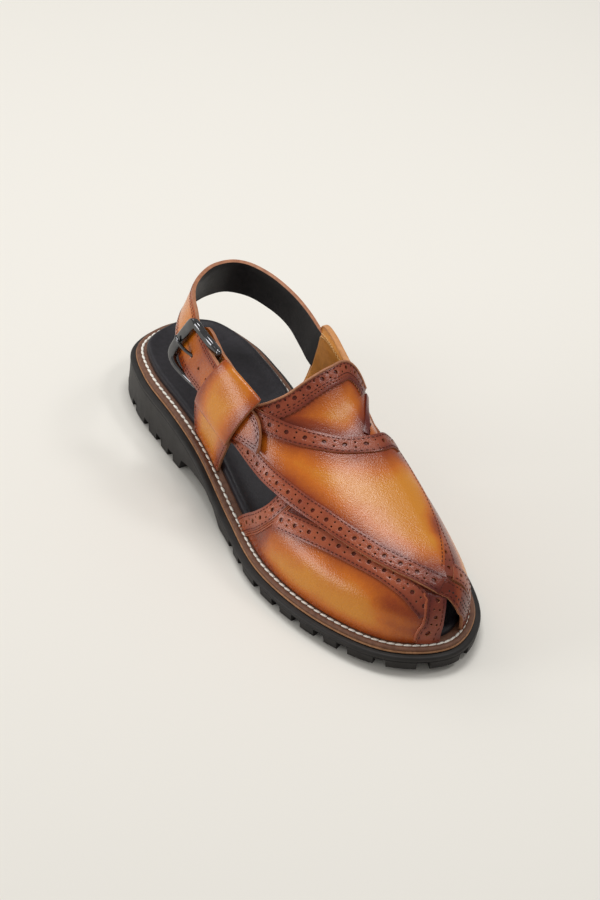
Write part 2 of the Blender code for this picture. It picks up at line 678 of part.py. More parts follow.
def hole_cutter(name, where, radius, group):
    """A short rod through the heel strap."""
    work = bmesh.new()
    bmesh.ops.create_cone(work, cap_ends=True, segments=16, radius1=radius * MM, radius2=radius * MM,
                          depth=3 * STRAP_THICKNESS * MM)
    normal = strap_frame(where)[2]
    turn = Vector(normal).to_track_quat("Z", "Y").to_matrix().to_4x4()
    place = Matrix.Translation(Vector(by_strap(where, HOLES_ACROSS, 0)) * MM) @ turn
    bmesh.ops.transform(work, matrix=place, verts=work.verts)
    mesh = bpy.data.meshes.new(name)
    work.to_mesh(mesh)
    work.free()
    made = bpy.data.objects.new(name, mesh)
    group.objects.link(made)
    return made


def make_heel_strap(group, cutters):
    low, top = strap_frame(np.linspace(0, HEEL_STRAP_KNOTS[-1], 46))[:2]
    share = np.linspace(0, 1, 4)[None, :, None]
    strap = thick_sheet("heel_strap", low[:, None] * (1 - share) + top[:, None] * share,
                        STRAP_THICKNESS, group)
    boolean(strap, hole_cutter("prong_hole", PRONG_HOLE_AT, PRONG_HOLE, cutters), "DIFFERENCE")
    boolean(strap, hole_cutter("spare_hole", SPARE_HOLE_AT, SPARE_HOLE, cutters), "DIFFERENCE")
    return strap


def bar(name, points, radii, closed, group):
    """A round bar as a mesh, through points with a radius at each."""
    curve = bpy.data.curves.new(name, "CURVE")
    curve.dimensions = "3D"
    curve.bevel_depth = MM
    curve.bevel_resolution = 3
    curve.use_fill_caps = True
    line = curve.splines.new("POLY")
    line.points.add(len(points) - 1)
    for knot, point, radius in zip(line.points, points, radii):
        knot.co = (*(np.asarray(point) * MM), 1.0)
        knot.radius = radius
    line.use_cyclic_u = closed
    drawn = bpy.data.objects.new(name + "_line", curve)
    group.objects.link(drawn)
    mesh = bpy.data.meshes.new_from_object(drawn.evaluated_get(bpy.context.evaluated_depsgraph_get()))
    bpy.data.objects.remove(drawn)
    work = bmesh.new()
    work.from_mesh(mesh)
    bmesh.ops.remove_doubles(work, verts=work.verts, dist=0.01 * MM)
    bmesh.ops.triangulate(work, faces=work.faces)
    bmesh.ops.recalc_face_normals(work, faces=work.faces)
    work.to_mesh(mesh)
    work.free()
    mesh.materials.clear()
    made = bpy.data.objects.new(name, mesh)
    group.objects.link(made)
    return made


def make_buckle_frame(group):
    """Rounded end bar over the strap, side bars beside it and a thin pivot bar under it."""
    over = STRAP_THICKNESS / 2 + 1.5 * GAP + BUCKLE_BAR
    under = -(STRAP_THICKNESS / 2 + GAP + PIVOT_BAR)
    turns = np.radians(np.linspace(0, 90, 6))
    corner = np.column_stack([BUCKLE_CORNER * (1 - np.sin(turns)),
                              BUCKLE_HALF_WIDTH - BUCKLE_CORNER * (1 - np.cos(turns))])
    corner = corner[::-1]
    length = PIVOT_AT - END_BAR_AT
    side = np.array([(share * length, BUCKLE_HALF_WIDTH) for share in (0.4, 0.62, 0.84, 0.97)])
    pivot = np.array([(length, BUCKLE_HALF_WIDTH - inset) for inset in (0.9, 2.4, 9.0)])
    half = np.vstack([corner, side, pivot])
    thick = np.concatenate([np.full(len(corner) + 2, BUCKLE_BAR), (1.9, 1.6), (1.35,), np.full(2, PIVOT_BAR)])
    loop = np.vstack([half, half[::-1] * (1, -1)])
    radii = np.concatenate([thick, thick[::-1]])
    level = over + (under - over) * ease(loop[:, 0] / length)
    points = by_strap(END_BAR_AT + loop[:, 0], loop[:, 1], level)
    return bar("buckle_frame", points, radii, True, group)


def make_buckle_prong(group):
    """Prong from the pivot bar up through its hole and over the end bar."""
    under = -(STRAP_THICKNESS / 2 + GAP + PIVOT_BAR)
    rest = STRAP_THICKNESS / 2 + 2.5 * GAP + 2 * BUCKLE_BAR + PRONG
    table = np.array((
        (PIVOT_AT - PIVOT_BAR - 3 * GAP, under),
        (PRONG_HOLE_AT + 4.2, under + 0.1),
        (PRONG_HOLE_AT + 0.9, -1.2),
        (PRONG_HOLE_AT - 1.1, 1.6),
        (PRONG_HOLE_AT - 4.2, 4.2),
        (END_BAR_AT + 2.5, rest - 0.6),
        (END_BAR_AT + 0.5, rest + 0.1),
        (END_BAR_AT - 1.4, rest + 0.2)))
    path = smooth(np.arange(len(table)), table, np.linspace(0, len(table) - 1, 19))
    radii = PRONG * np.interp(np.arange(19), (0, 15, 18), (1, 1, 0.6))
    points = by_strap(path[:, 0], HOLES_ACROSS + 0 * path[:, 0], path[:, 1])
    return bar("buckle_prong", points, radii, False, group)


def main():
    for old in list(bpy.data.objects):
        bpy.data.objects.remove(old)
    shoe = collection("peshawari_chappal")
    cutters = collection("cutters")
    tan = material("tan_leather", (0.45, 0.19, 0.05), 0.35)
    black = material("black_leather", (0.03, 0.03, 0.03), 0.5)
    brown = material("welt_leather", (0.20, 0.10, 0.05), 0.6)
    rubber = material("black_rubber", (0.035, 0.033, 0.032), 0.7)
    steel = material("gunmetal", (0.30, 0.30, 0.31), 0.25, 1.0)
    pieces = (
        (make_outsole(shoe, cutters), rubber),
        (make_welt(shoe), brown),
        (make_insole(shoe), black),
        (make_upper(shoe, cutters), tan),
        (make_heel_strap(shoe, cutters), tan),
        (make_buckle_frame(shoe), steel),
        (make_buckle_prong(shoe), steel))
    middle = bpy.data.objects.new("middle", None)
    shoe.objects.link(middle)
    middle.location = (-ORIGIN[0] * MM, -ORIGIN[1] * MM, 0)
    for piece, finish in pieces:
        piece.data.materials.append(finish)
        piece.parent = middle
    for cutter in cutters.objects:
        cutter.parent = middle


main()
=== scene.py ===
"""Looks of the peshawari chappal: burnished leather straps with punched bands, seams in brown
thread, a welt sewn with thick white thread, a black padded insole, a lugged rubber sole and a
gunmetal buckle.

Tables are in millimetres on the shoe's own last, as in the construction: `along` runs from the
middle of the shoe towards the heel, `girth` runs round a section of the last from 0 at the lateral
welt, over the ridge, to 1 at the medial welt, and a lift is a height above the last. The toe points
to -Y, the outer side to -X.
"""
import math

import bmesh
import bpy
import numpy as np
from mathutils import Matrix, Vector, kdtree


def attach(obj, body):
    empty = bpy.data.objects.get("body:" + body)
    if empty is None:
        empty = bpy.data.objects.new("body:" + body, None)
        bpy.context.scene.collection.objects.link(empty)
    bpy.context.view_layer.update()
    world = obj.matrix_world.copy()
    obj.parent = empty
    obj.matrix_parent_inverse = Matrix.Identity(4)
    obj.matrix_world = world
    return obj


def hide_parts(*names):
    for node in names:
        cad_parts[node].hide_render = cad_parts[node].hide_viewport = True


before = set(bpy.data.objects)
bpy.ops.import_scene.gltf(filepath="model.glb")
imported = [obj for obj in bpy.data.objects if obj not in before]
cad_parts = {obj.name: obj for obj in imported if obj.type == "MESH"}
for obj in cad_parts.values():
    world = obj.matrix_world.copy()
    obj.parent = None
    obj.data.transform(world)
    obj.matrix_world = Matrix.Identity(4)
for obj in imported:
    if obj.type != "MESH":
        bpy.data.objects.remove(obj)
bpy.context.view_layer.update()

MM = 0.001

# -------------------------------------------------- sizes shared with the construction
HEEL_HEIGHT = 27.0
BALL_HEIGHT = 11.5
TOE_SPRING = 3.0
WELT_THICKNESS = 2.9
WELT_WIDTH = 11.0
FEATHER_INSET = 7.5
RUBBER_LEDGE = 2.3
HEEL_FLARE = 3.5
FOREFOOT_FLARE = 2.0
LUG_DEPTH = 5.2
LUG_GAP_WIDTH = 6.2
LUG_LENGTH = 13.0
FIELD_DEPTH = 3.4
LEATHER = 2.0
STRAP_THICKNESS = 2.2
STRAP_STAND_OFF = 7.7
GAP = 0.3
INSOLE_EDGE = -FEATHER_INSET - 0.7
INSOLE_RIM = 4.6
SEAT_COVER = 1.6          # how much further out the insole goes round the seat
MEDIAL_COVER = 2.6        # the same on its medial side
MEDIAL_RAISE = 0.7
ORIGIN = np.array((0.45, 0.6, 0.0))

# -------------------------------------------------- sizes of the finish
BAND_WIDTH = 9.5
BAND_THICKNESS = 0.8
TOP_BAND_WIDTH = 11.0     # of the band along the top of a front panel
FRONT_BAND_THICKNESS = 1.05     # of its rear and toe bands, which lie over the top one
BIG_HOLE = 1.25           # radii of the punched holes
SMALL_HOLE = 0.62
HOLE_PITCH = 9.6          # from one big hole to the next
SMALL_APART = 3.0         # between the two small holes of a pair
SEAM_PITCH = 2.6
SEAM_STITCH = (1.9, 0.62, 0.42)     # length, width and height of a stitch of brown thread
WELT_PITCH = 4.7
WELT_STITCH = (4.6, 1.6, 1.2)
WELT_SEAM_INSET = 4.0
PINPRICK = (0.42, 6)      # radius and corners of the row along the pinked edge
PINPRICK_PITCH = 2.1
TOOTH_PITCH = 2.6         # of the pinked edge
BEND_PITCH = 2.4          # between the cuts that let a band bend
EDGE_ROUND = 0.4
BAND_EDGE_ROUND = 0.18
AT_ONCE = 24              # stitches made together

WELT_OUTLINE = (
    (-1, 151), (-27.5, 140), (-37.5, 112), (-39.5, 75), (-41, 35), (-46.5, -9), (-51.5, -54),
    (-43, -100), (-23, -137), (8, -150.5), (34.2, -132.6), (48, -95), (52, -49), (40, 0),
    (33.5, 45), (35, 85), (34, 115), (24, 141))

LAST_COLUMNS = (
    "along", "ridge", "rise", "round_lateral", "round_medial", "swell_lateral", "swell_medial")
LAST_SECTIONS = (
    (75, 2, 110, 1.00, 0.85, 4, 11),
    (45, 5, 99, 1.00, 0.82, 4, 10),
    (20, 9, 89, 0.95, 0.80, 3, 7),
    (0, 12, 78, 0.92, 0.84, 1, 5),
    (-25, 15.5, 62.5, 0.90, 1.13, 0, 0),
    (-50, 17.5, 52.5, 0.86, 1.15, 0, 0),
    (-75, 17.5, 44.5, 0.82, 1.10, 0, 0),
    (-100, 15, 37, 0.78, 1.05, 0, 0),
    (-120, 12, 31, 0.74, 0.95, 0, 0),
    (-134, 9.5, 23, 0.70, 0.80, 0, 0),
    (-140, 8.5, 15, 0.70, 0.70, 0, 0),
    (-143, 8, 4, 0.70, 0.66, 0, 0))

# Each row is a line across a strap: along, girth and lift of its first edge, then of the second
STRAPS = {
    "lateral_front": (
        (-13, 0.00, 0.3, -142.9, 0.00, 0.3),
        (-24, 0.055, 0.3, -142.8, 0.18, 0.3),
        (-33, 0.102, 0.3, -142.4, 0.34, 0.3),
        (-40, 0.160, 0.3, -141.4, 0.45, 0.3),
        (-43, 0.25, 0.3, -137.5, 0.50, 0.3),
        (-50, 0.34, 0.3, -127, 0.50, 0.3)),
    "medial_front": (
        (-58, 0.50, 0.9, -128, 0.49, 0.9),
        (-54, 0.60, 0.9, -131, 0.60, 0.9),
        (-48, 0.70, 0.9, -132, 0.74, 0.9),
        (-40, 0.80, 0.9, -133, 0.86, 0.9),
        (-30, 0.90, 0.9, -134, 0.94, 0.9),
        (-22, 1.00, 0.9, -137, 1.00, 0.9)),
    "medial_quarter": (
        (-6, 0.52, 0.6, -60, 0.44, 0.6),
        (-5, 0.60, 0.6, -56, 0.58, 0.6),
        (-2, 0.68, 0.6, -42, 0.68, 0.6),
        (10, 0.73, 0.6, -30, 0.74, 0.6),
        (28, 0.78, 2.6, -18, 0.80, 0.6),
        (44, 0.832, 5.7, -8, 0.85, 0.6),
        (46, 0.88, 5.5, 0, 0.90, 0.6),
        (48, 0.95, 3.4, 5, 0.95, 0.6),
        (51, 1.00, 0.6, 9, 1.00, 0.6)),
    "lateral_quarter": (
        (53, 0.00, 0.3, 21, 0.00, 0.3),
        (53, 0.057, 0.3, 15, 0.052, 0.3),
        (50, 0.10, 0.3, 10, 0.109, 0.3),
        (44, 0.13, 0.3, 5, 0.165, 0.3),
        (36, 0.165, 0.3, 0, 0.215, 0.3),
        (33, 0.19, 0.3, -4, 0.255, 0.3)),
    "throat": (
        (2, 0.245, 2.0, -10, 0.23, 2.0),
        (-3, 0.295, 2.0, -20, 0.27, 2.0),
        (-6, 0.355, 2.0, -31, 0.305, 2.0),
        (-5.5, 0.43, 2.0, -40, 0.34, 2.0),
        (-4, 0.50, 2.0, -46, 0.375, 2.0),
        (-2, 0.58, 2.0, -49, 0.41, 2.0),
        (-3, 0.635, 2.2, -49, 0.43, 2.2),
        (-6, 0.675, 2.4, -48, 0.45, 2.2),
        (-12, 0.70, 2.6, -46, 0.47, 2.2)),
    "over_strap": (
        (22, 0.225, 1.2, 24, 0.090, 1.0),
        (2, 0.25, 3.2, 7, 0.126, 1.6),
        (-13, 0.306, 3.4, -11, 0.150, 2.2),
        (-22, 0.349, 3.4, -22, 0.166, 2.2),
        (-30, 0.392, 3.4, -33, 0.184, 2.2),
        (-37, 0.435, 3.4, -43, 0.201, 2.2),
        (-41, 0.480, 3.4, -53, 0.217, 2.2),
        (-42, 0.527, 3.4, -62, 0.231, 2.2),
        (-40, 0.610, 3.3, -70, 0.245, 2.2),
        (-42, 0.670, 3.2, -77, 0.256, 2.2),
        (-52, 0.672, 3.0, -84, 0.268, 2.2),
        (-66, 0.662, 2.9, -92, 0.283, 2.2),
        (-82, 0.652, 2.8, -101, 0.302, 2.2),
        (-98, 0.635, 2.8, -111, 0.326, 2.2),
        (-111, 0.600, 2.7, -120, 0.363, 2.2),
        (-121, 0.560, 2.6, -128, 0.408, 2.2),
        (-128.5, 0.528, 2.6, -134, 0.470, 2.2),
        (-131.5, 0.558, 2.6, -137, 0.505, 2.2),
        (-133, 0.65, 2.6, -139, 0.58, 2.2),
        (-133.5, 0.78, 2.6, -140, 0.73, 2.2),
        (-134, 0.90, 2.4, -139.5, 0.89, 2.2),
        (-136, 1, 2.0, -139.5, 1, 2.0)),
    # the keeper's rows give the heights of the middle of its wall
    "keeper": (
        (40, 0.086, 2.2, 8, 0.108, 2.2),
        (39, 0.098, 6.6, 5, 0.124, 6.6),
        (37.5, 0.115, 10.2, 2, 0.141, 10.2),
        (33, 0.170, 10.6, 0, 0.205, 10.6),
        (28.5, 0.222, 10.6, -1, 0.255, 10.6),
        (27, 0.250, 9.2, -1, 0.283, 9.4),
        (29, 0.244, 5.6, 0, 0.282, 6.6),
        (34, 0.205, 1.8, 2, 0.255, 4.2)),
}

# Heel strap from its medial end to the buckle: across, along and height of its lower edge, then of
# its upper one
HEEL_STRAP = (
    (32.3, 32.9, 56.4, 35, 31.9, 78.4),
    (32.8, 46.8, 56.5, 36.6, 45.8, 79),
    (36, 62, 56.5, 37.5, 60, 81),
    (37.5, 80, 59.5, 36, 77, 84),
    (34, 97, 62, 30, 94, 88),
    (26, 108.5, 65.5, 22, 103.5, 91),
    (15, 113.5, 68.5, 13.5, 106.5, 93),
    (2, 112.5, 70, 1, 105.5, 94),
    (-9, 108, 71, -10, 99, 94.5),
    (-19, 101, 72, -18.5, 90.5, 95),
    (-28, 90, 73, -25, 79, 95),
    (-34.5, 79, 72.5, -28.5, 69, 94),
    (-37.8, 70.5, 69, -31, 61.5, 91),
    (-39, 59, 63, -32, 49.5, 86))
BILLET = (
    (40, 0.127, 32, 0.222),
    (22, 0.134, 16, 0.232),
    (4, 0.153, 1, 0.246),
    (-6, 0.178, -6, 0.251),
    (-13, 0.197, -12, 0.238),
    (-17, 0.208, -16, 0.219))

HEEL_STRAP_WIDTH = 24.0   # of its blank, before it is set to the edges above
HEEL_STRAP_EDGE_ROUND = 0.5
HEEL_STRAP_SEAMS = (1.7, 3.3)   # in from its edges
STRAP_HOLE = (1.1, 14)    # radius and corners
END_BAR_AT = 160.5
PIVOT_AT = 185.5
PRONG_HOLE_AT = 171.0
SPARE_HOLES_AT = (182.0, 193.0)
HOLES_ACROSS = -1.5
BUCKLE_BAR = 2.0
PIVOT_BAR = 1.3
PRONG = 1.0
BUCKLE_HALF_WIDTH = 15.2
BUCKLE_CORNER = 4.5
# Half widths of the buckle's upper side and of its lower one, from the end bar to the pivot bar
UPPER_HALF_WIDTHS = (*[2.5] * 8, 2.1, 1.7, 1.35, PIVOT_BAR, PIVOT_BAR)
LOWER_HALF_WIDTHS = (*[2.35] * 3, 2.2, 2.0, 1.8, 1.55, 1.45, 1.4, 1.35, *[PIVOT_BAR] * 3)
BUCKLE_SIDE_SHARES = (0.4, 0.62, 0.84, 0.97)    # places down its side, from end bar to pivot bar
PIVOT_INSETS = (0.9, 2.4, 9.0)  # places along the pivot bar, in from the side
END_BAR_REACH = 2.5
BUCKLE_STEPS = 160
BUCKLE_STEADYING = 10     # times that its run is evened out
# Heights over the strap's middle: of each bar's middle, and of the prong's on the end bar
END_BAR_HEIGHT = STRAP_THICKNESS / 2 + 1.5 * GAP + BUCKLE_BAR
PIVOT_HEIGHT = -(STRAP_THICKNESS / 2 + GAP + PIVOT_BAR)
PRONG_REST = STRAP_THICKNESS / 2 + 2.5 * GAP + 2 * BUCKLE_BAR + PRONG
PRONG_PATH = (            # place along the strap, and height over its middle
    (PIVOT_AT - PIVOT_BAR - 3 * GAP, PIVOT_HEIGHT),
    (PRONG_HOLE_AT + 4.2, PIVOT_HEIGHT + 0.1),
    (PRONG_HOLE_AT + 0.9, -1.2),
    (PRONG_HOLE_AT - 1.1, 1.6),
    (PRONG_HOLE_AT - 4.2, 4.2),
    (END_BAR_AT + 2.5, PRONG_REST - 0.6),
    (END_BAR_AT + 0.5, PRONG_REST + 0.1),
    (END_BAR_AT - 1.4, PRONG_REST + 0.2))
PRONG_STEPS = 56
CHAPE_REACH = (158, 206)
CHAPE_LIFT = -6.4
CHAPE_WIDEN = 1.2
CHAPE_TIP = 0.35          # share of its width at its rear end

# Height of the sole's arch over the floor, by place along it
WAIST_PROFILE = ((56, -2), (52.5, 7), (46, 8.2), (22, 9), (8, 6), (-5, -2))
WAIST_STATIONS = (56, 52.5, 52.3, 46, 8, -5)    # sections added where it turns
FIELDS = ((-122, -12), (68, 128))       # where it is sunk between its edge lugs: from, to
LATERAL_LUG_GAPS = (16, 36, 56, 75, 91, 106, 193, 208, 228, 245, 261, 277, 292, 313, 335)
MEDIAL_LUG_GAPS = (358, 379, 398, 414, 430, 446, 464, 482, 500, 592, 608, 624, 642, 662, 682)
LUG_GAPS = LATERAL_LUG_GAPS + MEDIAL_LUG_GAPS
# Middle of each pair of centre lugs
CENTRE_LUGS = ((0, -24), (0, -48), (2, -72), (5, -96), (-2, 86), (-2, 112))
CENTRE_LUG_SIZE = (17, 9)       # length and width
CENTRE_LUG_OUT = 12       # from the middle of its pair
CENTRE_LUG_TURN = 25      # degrees
CENTRE_LUG_ROUND = 0.6
# Sections from the top of the ledge round its edge: out from its width, and down from its top
LEDGE_PROFILE = (
    (-1.0, 0), (-0.35, 0.12), (0.15, 0.5), (0.45, 1.1), (0.5, 1.9), (0.35, 2.5), (-0.1, 2.75))
SIDE_SHARES = (0.0, 0.25, 0.5, 0.75, 1.0)
FOOT_PROFILE = ((0.1, 0.45), (0.45, 0.12), (1.0, 0.0))  # back from the side, up from the foot
# Round the welt and the midsole's edge: out from the outline, and down from the welt's top
WELT_GROOVE = tuple((-WELT_SEAM_INSET + out, down) for out, down in (
    (1.0, 0), (0.5, 0.25), (0, 0.35), (-0.5, 0.25), (-1.0, 0)))
WELT_PROFILE = (
    (-1.1, 1.75), (-0.85, 1.6), (-0.77, 1.2), (-0.8, 0.7), (-1.05, 0.25), (-1.5, 0), *WELT_GROOVE,
    (-WELT_WIDTH, 0), (-WELT_WIDTH, 1.75), (-1.1, 1.75))
MIDSOLE_PROFILE = (
    (-WELT_WIDTH, 1.76), (-0.7, 1.76), (-0.42, 1.9), (-0.35, 2.3), (-0.42, 2.7), (-0.6, 2.9),
    (-WELT_WIDTH, 2.9), (-WELT_WIDTH, 1.76))
# Round the insole's rolled rim: in from its edge, and up from the welt's top
INSOLE_PROFILE = (
    (2.0, GAP), (0, GAP), (-0.1, 1.6), (0, 2.8), (0.35, 3.6), (0.9, 4.2), (1.7, INSOLE_RIM),
    (2.7, INSOLE_RIM - 0.02), (3.9, 4.3), (5.2, 3.95), (6.8, 3.65), (8.8, 3.4))
INSOLE_DISH = 0.5
SEAT_FROM, SEAT_RISE = 52, 8    # where the seat starts, and how soon the rim has widened there
SEAT_TURN = 20            # round the heel's tip, from one side's rim to the other's


# -------------------------------------------------- curves and the last
def smooth(knots, rows, where):
    """Values of a smooth curve through rows at the given knots, read at `where`."""
    knots = np.asarray(knots, float)
    rows = np.asarray(rows, float)
    where = np.clip(np.asarray(where, float), knots[0], knots[-1])
    step = np.diff(knots)
    slope = np.diff(rows, axis=0) / step[:, None]
    tangent = np.empty_like(rows)
    tangent[0], tangent[-1] = slope[0], slope[-1]
    weight = step[:-1, None] / (step[:-1] + step[1:])[:, None]
    tangent[1:-1] = slope[:-1] * (1 - weight) + slope[1:] * weight
    span = np.clip(np.searchsorted(knots, where, side="right") - 1, 0, len(knots) - 2)
    width = step[span]
    u = (where - knots[span]) / width
    u, width = u[..., None], width[..., None]
    return ((2 * u**3 - 3 * u**2 + 1) * rows[span] + (u**3 - 2 * u**2 + u) * width * tangent[span]
            + (3 * u**2 - 2 * u**3) * rows[span + 1] + (u**3 - u**2) * width * tangent[span + 1])


def closed_curve(points, count):
    """A closed smooth curve of `count` points through the given ones."""
    points = np.asarray(points, float)
    extended = np.vstack([points[-3:], points, points[:3]])
    return smooth(np.arange(len(extended)) - 3, extended, np.arange(count) * len(points) / count)


def read_off(where, knots, line):
    """Points of a line of straight steps, read at `where`."""
    return np.stack([np.interp(where, knots, axis) for axis in line.T], axis=-1)


def unit(vectors):
    return vectors / np.linalg.norm(vectors, axis=-1, keepdims=True)


def ease(value):
    """A smooth step from 0 to 1."""
    value = np.clip(value, 0, 1)
    return value * value * (3 - 2 * value)


def travelled(points):
    """Distance gone along a run of points."""
    return np.concatenate([[0], np.cumsum(np.linalg.norm(np.diff(points, axis=0), axis=-1))])


def welt_top(along):
    lift = TOE_SPRING * np.clip((-40 - along) / 110, 0, None) ** 2
    return HEEL_HEIGHT + (BALL_HEIGHT - HEEL_HEIGHT) * ease((75 - along) / 110) + lift


def ground(along):
    """Height of the lugs' lower faces: the floor, then the toe spring."""
    return TOE_SPRING * np.clip((-55 - along) / 95, 0, None) ** 2


def outline_from_heel(count):
    """The welt's outline from the heel's tip by the lateral side and back, its outward
    directions, and the arc of each point from the first point of the table."""
    ring = closed_curve(WELT_OUTLINE, count)
    chord = np.roll(ring, -1, axis=0) - np.roll(ring, 1, axis=0)
    out = unit(np.stack([chord[:, 1], -chord[:, 0]], axis=1))
    if np.sum((ring - ring.mean(axis=0)) * out) < 0:
        out = -out
    tip = int(np.argmax(ring[:, 1]))
    order = (np.arange(count + 1) + tip) % count
    ring, out = ring[order], out[order]
    arc = travelled(ring)
    first = (count - tip) % count
    return ring, out, arc - (arc[first] if first < count / 2 else arc[first] - arc[-1])


FINE, FINE_OUT, FINE_ARC = outline_from_heel(2880)
TOE_TIP = int(np.argmin(FINE[:, 1]))


def feather_edges():
    """The last's feather edge as two runs over `along`: lateral and medial."""
    feather = FINE - FINE_OUT * FEATHER_INSET
    toe = int(np.argmin(feather[:, 1]))
    lateral, medial = feather[:toe + 1], feather[toe:]
    return lateral[np.argsort(lateral[:, 1])], medial[np.argsort(medial[:, 1])]


LATERAL_FEATHER, MEDIAL_FEATHER = feather_edges()
LAST_ALONG = [row[0] for row in reversed(LAST_SECTIONS)]
LAST_VALUES = [row[1:] for row in reversed(LAST_SECTIONS)]


def last_point(along, girth):
    """A point of the bare last."""
    values = np.moveaxis(smooth(LAST_ALONG, LAST_VALUES, along), -1, 0)
    section = dict(zip(LAST_COLUMNS[1:], values))
    ridge = section["ridge"]
    lateral = np.interp(along, LATERAL_FEATHER[:, 1], LATERAL_FEATHER[:, 0])
    medial = np.interp(along, MEDIAL_FEATHER[:, 1], MEDIAL_FEATHER[:, 0])
    angle = girth * math.pi
    cosine, sine = np.cos(angle), np.abs(np.sin(angle))
    on_lateral = cosine > 0
    roundness = np.where(on_lateral, section["round_lateral"], section["round_medial"])
    reach = np.abs(cosine) ** roundness
    swell = np.abs(np.sin(2 * angle))
    x = np.where(on_lateral, ridge + (lateral - ridge) * reach - section["swell_lateral"] * swell,
                 ridge + (medial - ridge) * reach + section["swell_medial"] * swell)
    z = welt_top(along) + 2 * GAP + section["rise"] * sine ** roundness
    return np.stack([x, along + 0 * x, z], axis=-1)


def on_last(along, girth, lift):
    """A point at a height above the last's surface."""
    along, girth, lift = np.broadcast_arrays(
        np.asarray(along, float), np.asarray(girth, float), np.asarray(lift, float))
    inside = np.clip(girth, 0.01, 0.99)
    along_way = last_point(along + 0.5, inside) - last_point(along - 0.5, inside)
    girth_way = last_point(along, inside + 0.0005) - last_point(along, inside - 0.0005)
    return last_point(along, girth) + unit(np.cross(girth_way, along_way)) * lift[..., None]


# -------------------------------------------------- straps and routes over them
# Soft troughs and ridges pressed in: ends of each on the last, its width and its depth
CREASES = {
    "over_strap": (
        (-8, 0.19, -50, 0.30, 9, -0.5),
        (-52, 0.44, -66, 0.60, 10, -0.45),
        (-70, 0.38, -112, 0.47, 16, 0.6)),
    "throat": (
        (-12, 0.56, -40, 0.43, 7, -0.7),
        (-12, 0.44, -34, 0.36, 9, 0.5)),
    "lateral_front": (
        (-45, 0.09, -118, 0.16, 11, 0.9),
        (-28, 0.05, -60, 0.03, 6, -0.3)),
    "medial_front": (
        (-52, 0.90, -118, 0.86, 11, 0.9),),
    "medial_quarter": (
        (-4, 0.72, 30, 0.84, 9, -0.5),
        (0, 0.93, 40, 0.93, 8, 0.5)),
    "lateral_quarter": (
        (48, 0.03, 20, 0.03, 8, 0.5),),
    "keeper": (
        (30, 0.12, 8, 0.14, 6, 0.25),),
}
GIRTH_MM = 150.0          # length of a whole girth, near enough to size a crease


class Strap:
    """A strap of the table: `row` counts its rows, `share` goes from one edge to the other."""

    def __init__(self, name, to_outside):
        self.name = name
        self.table = np.asarray(STRAPS[name], float)
        self.knots = np.arange(len(self.table))
        self.last = len(self.table) - 1
        self.to_outside = to_outside

    def lines(self, row):
        return smooth(self.knots, self.table, row)

    def width(self, row):
        lines = np.moveaxis(self.lines(row), -1, 0)
        return np.linalg.norm(on_last(*lines[3:]) - on_last(*lines[:3]), axis=-1)

    def on_last(self, row, share):
        lines = self.lines(row)
        share = np.asarray(share)[..., None]
        return np.moveaxis(lines[..., :3] * (1 - share) + lines[..., 3:] * share, -1, 0)

    def place(self, row, share, height):
        """A point at a height above the strap's outer face."""
        row, share = np.broadcast_arrays(np.asarray(row, float), np.asarray(share, float))
        along, girth, lift = self.on_last(row, share)
        height = height + creased(self.name, along, girth)
        return on_last(along, girth, lift + self.to_outside + height)


def creased(name, along, girth):
    """Height that the creases give to a point of a strap."""
    height = 0 * along
    for along_1, girth_1, along_2, girth_2, width, depth in CREASES.get(name, ()):
        start = np.array((along_1, girth_1 * GIRTH_MM))
        way = np.array((along_2, girth_2 * GIRTH_MM)) - start
        offset = np.stack([along, girth * GIRTH_MM], axis=-1) - start
        share = np.clip(offset @ way / (way @ way), 0, 1)
        distance = np.linalg.norm(offset - share[..., None] * way, axis=-1)
        height = height + depth * np.exp(-(distance / width) ** 2)
    return height


STRAP = {name: Strap(name, LEATHER / 2 if name == "keeper" else LEATHER) for name in STRAPS}


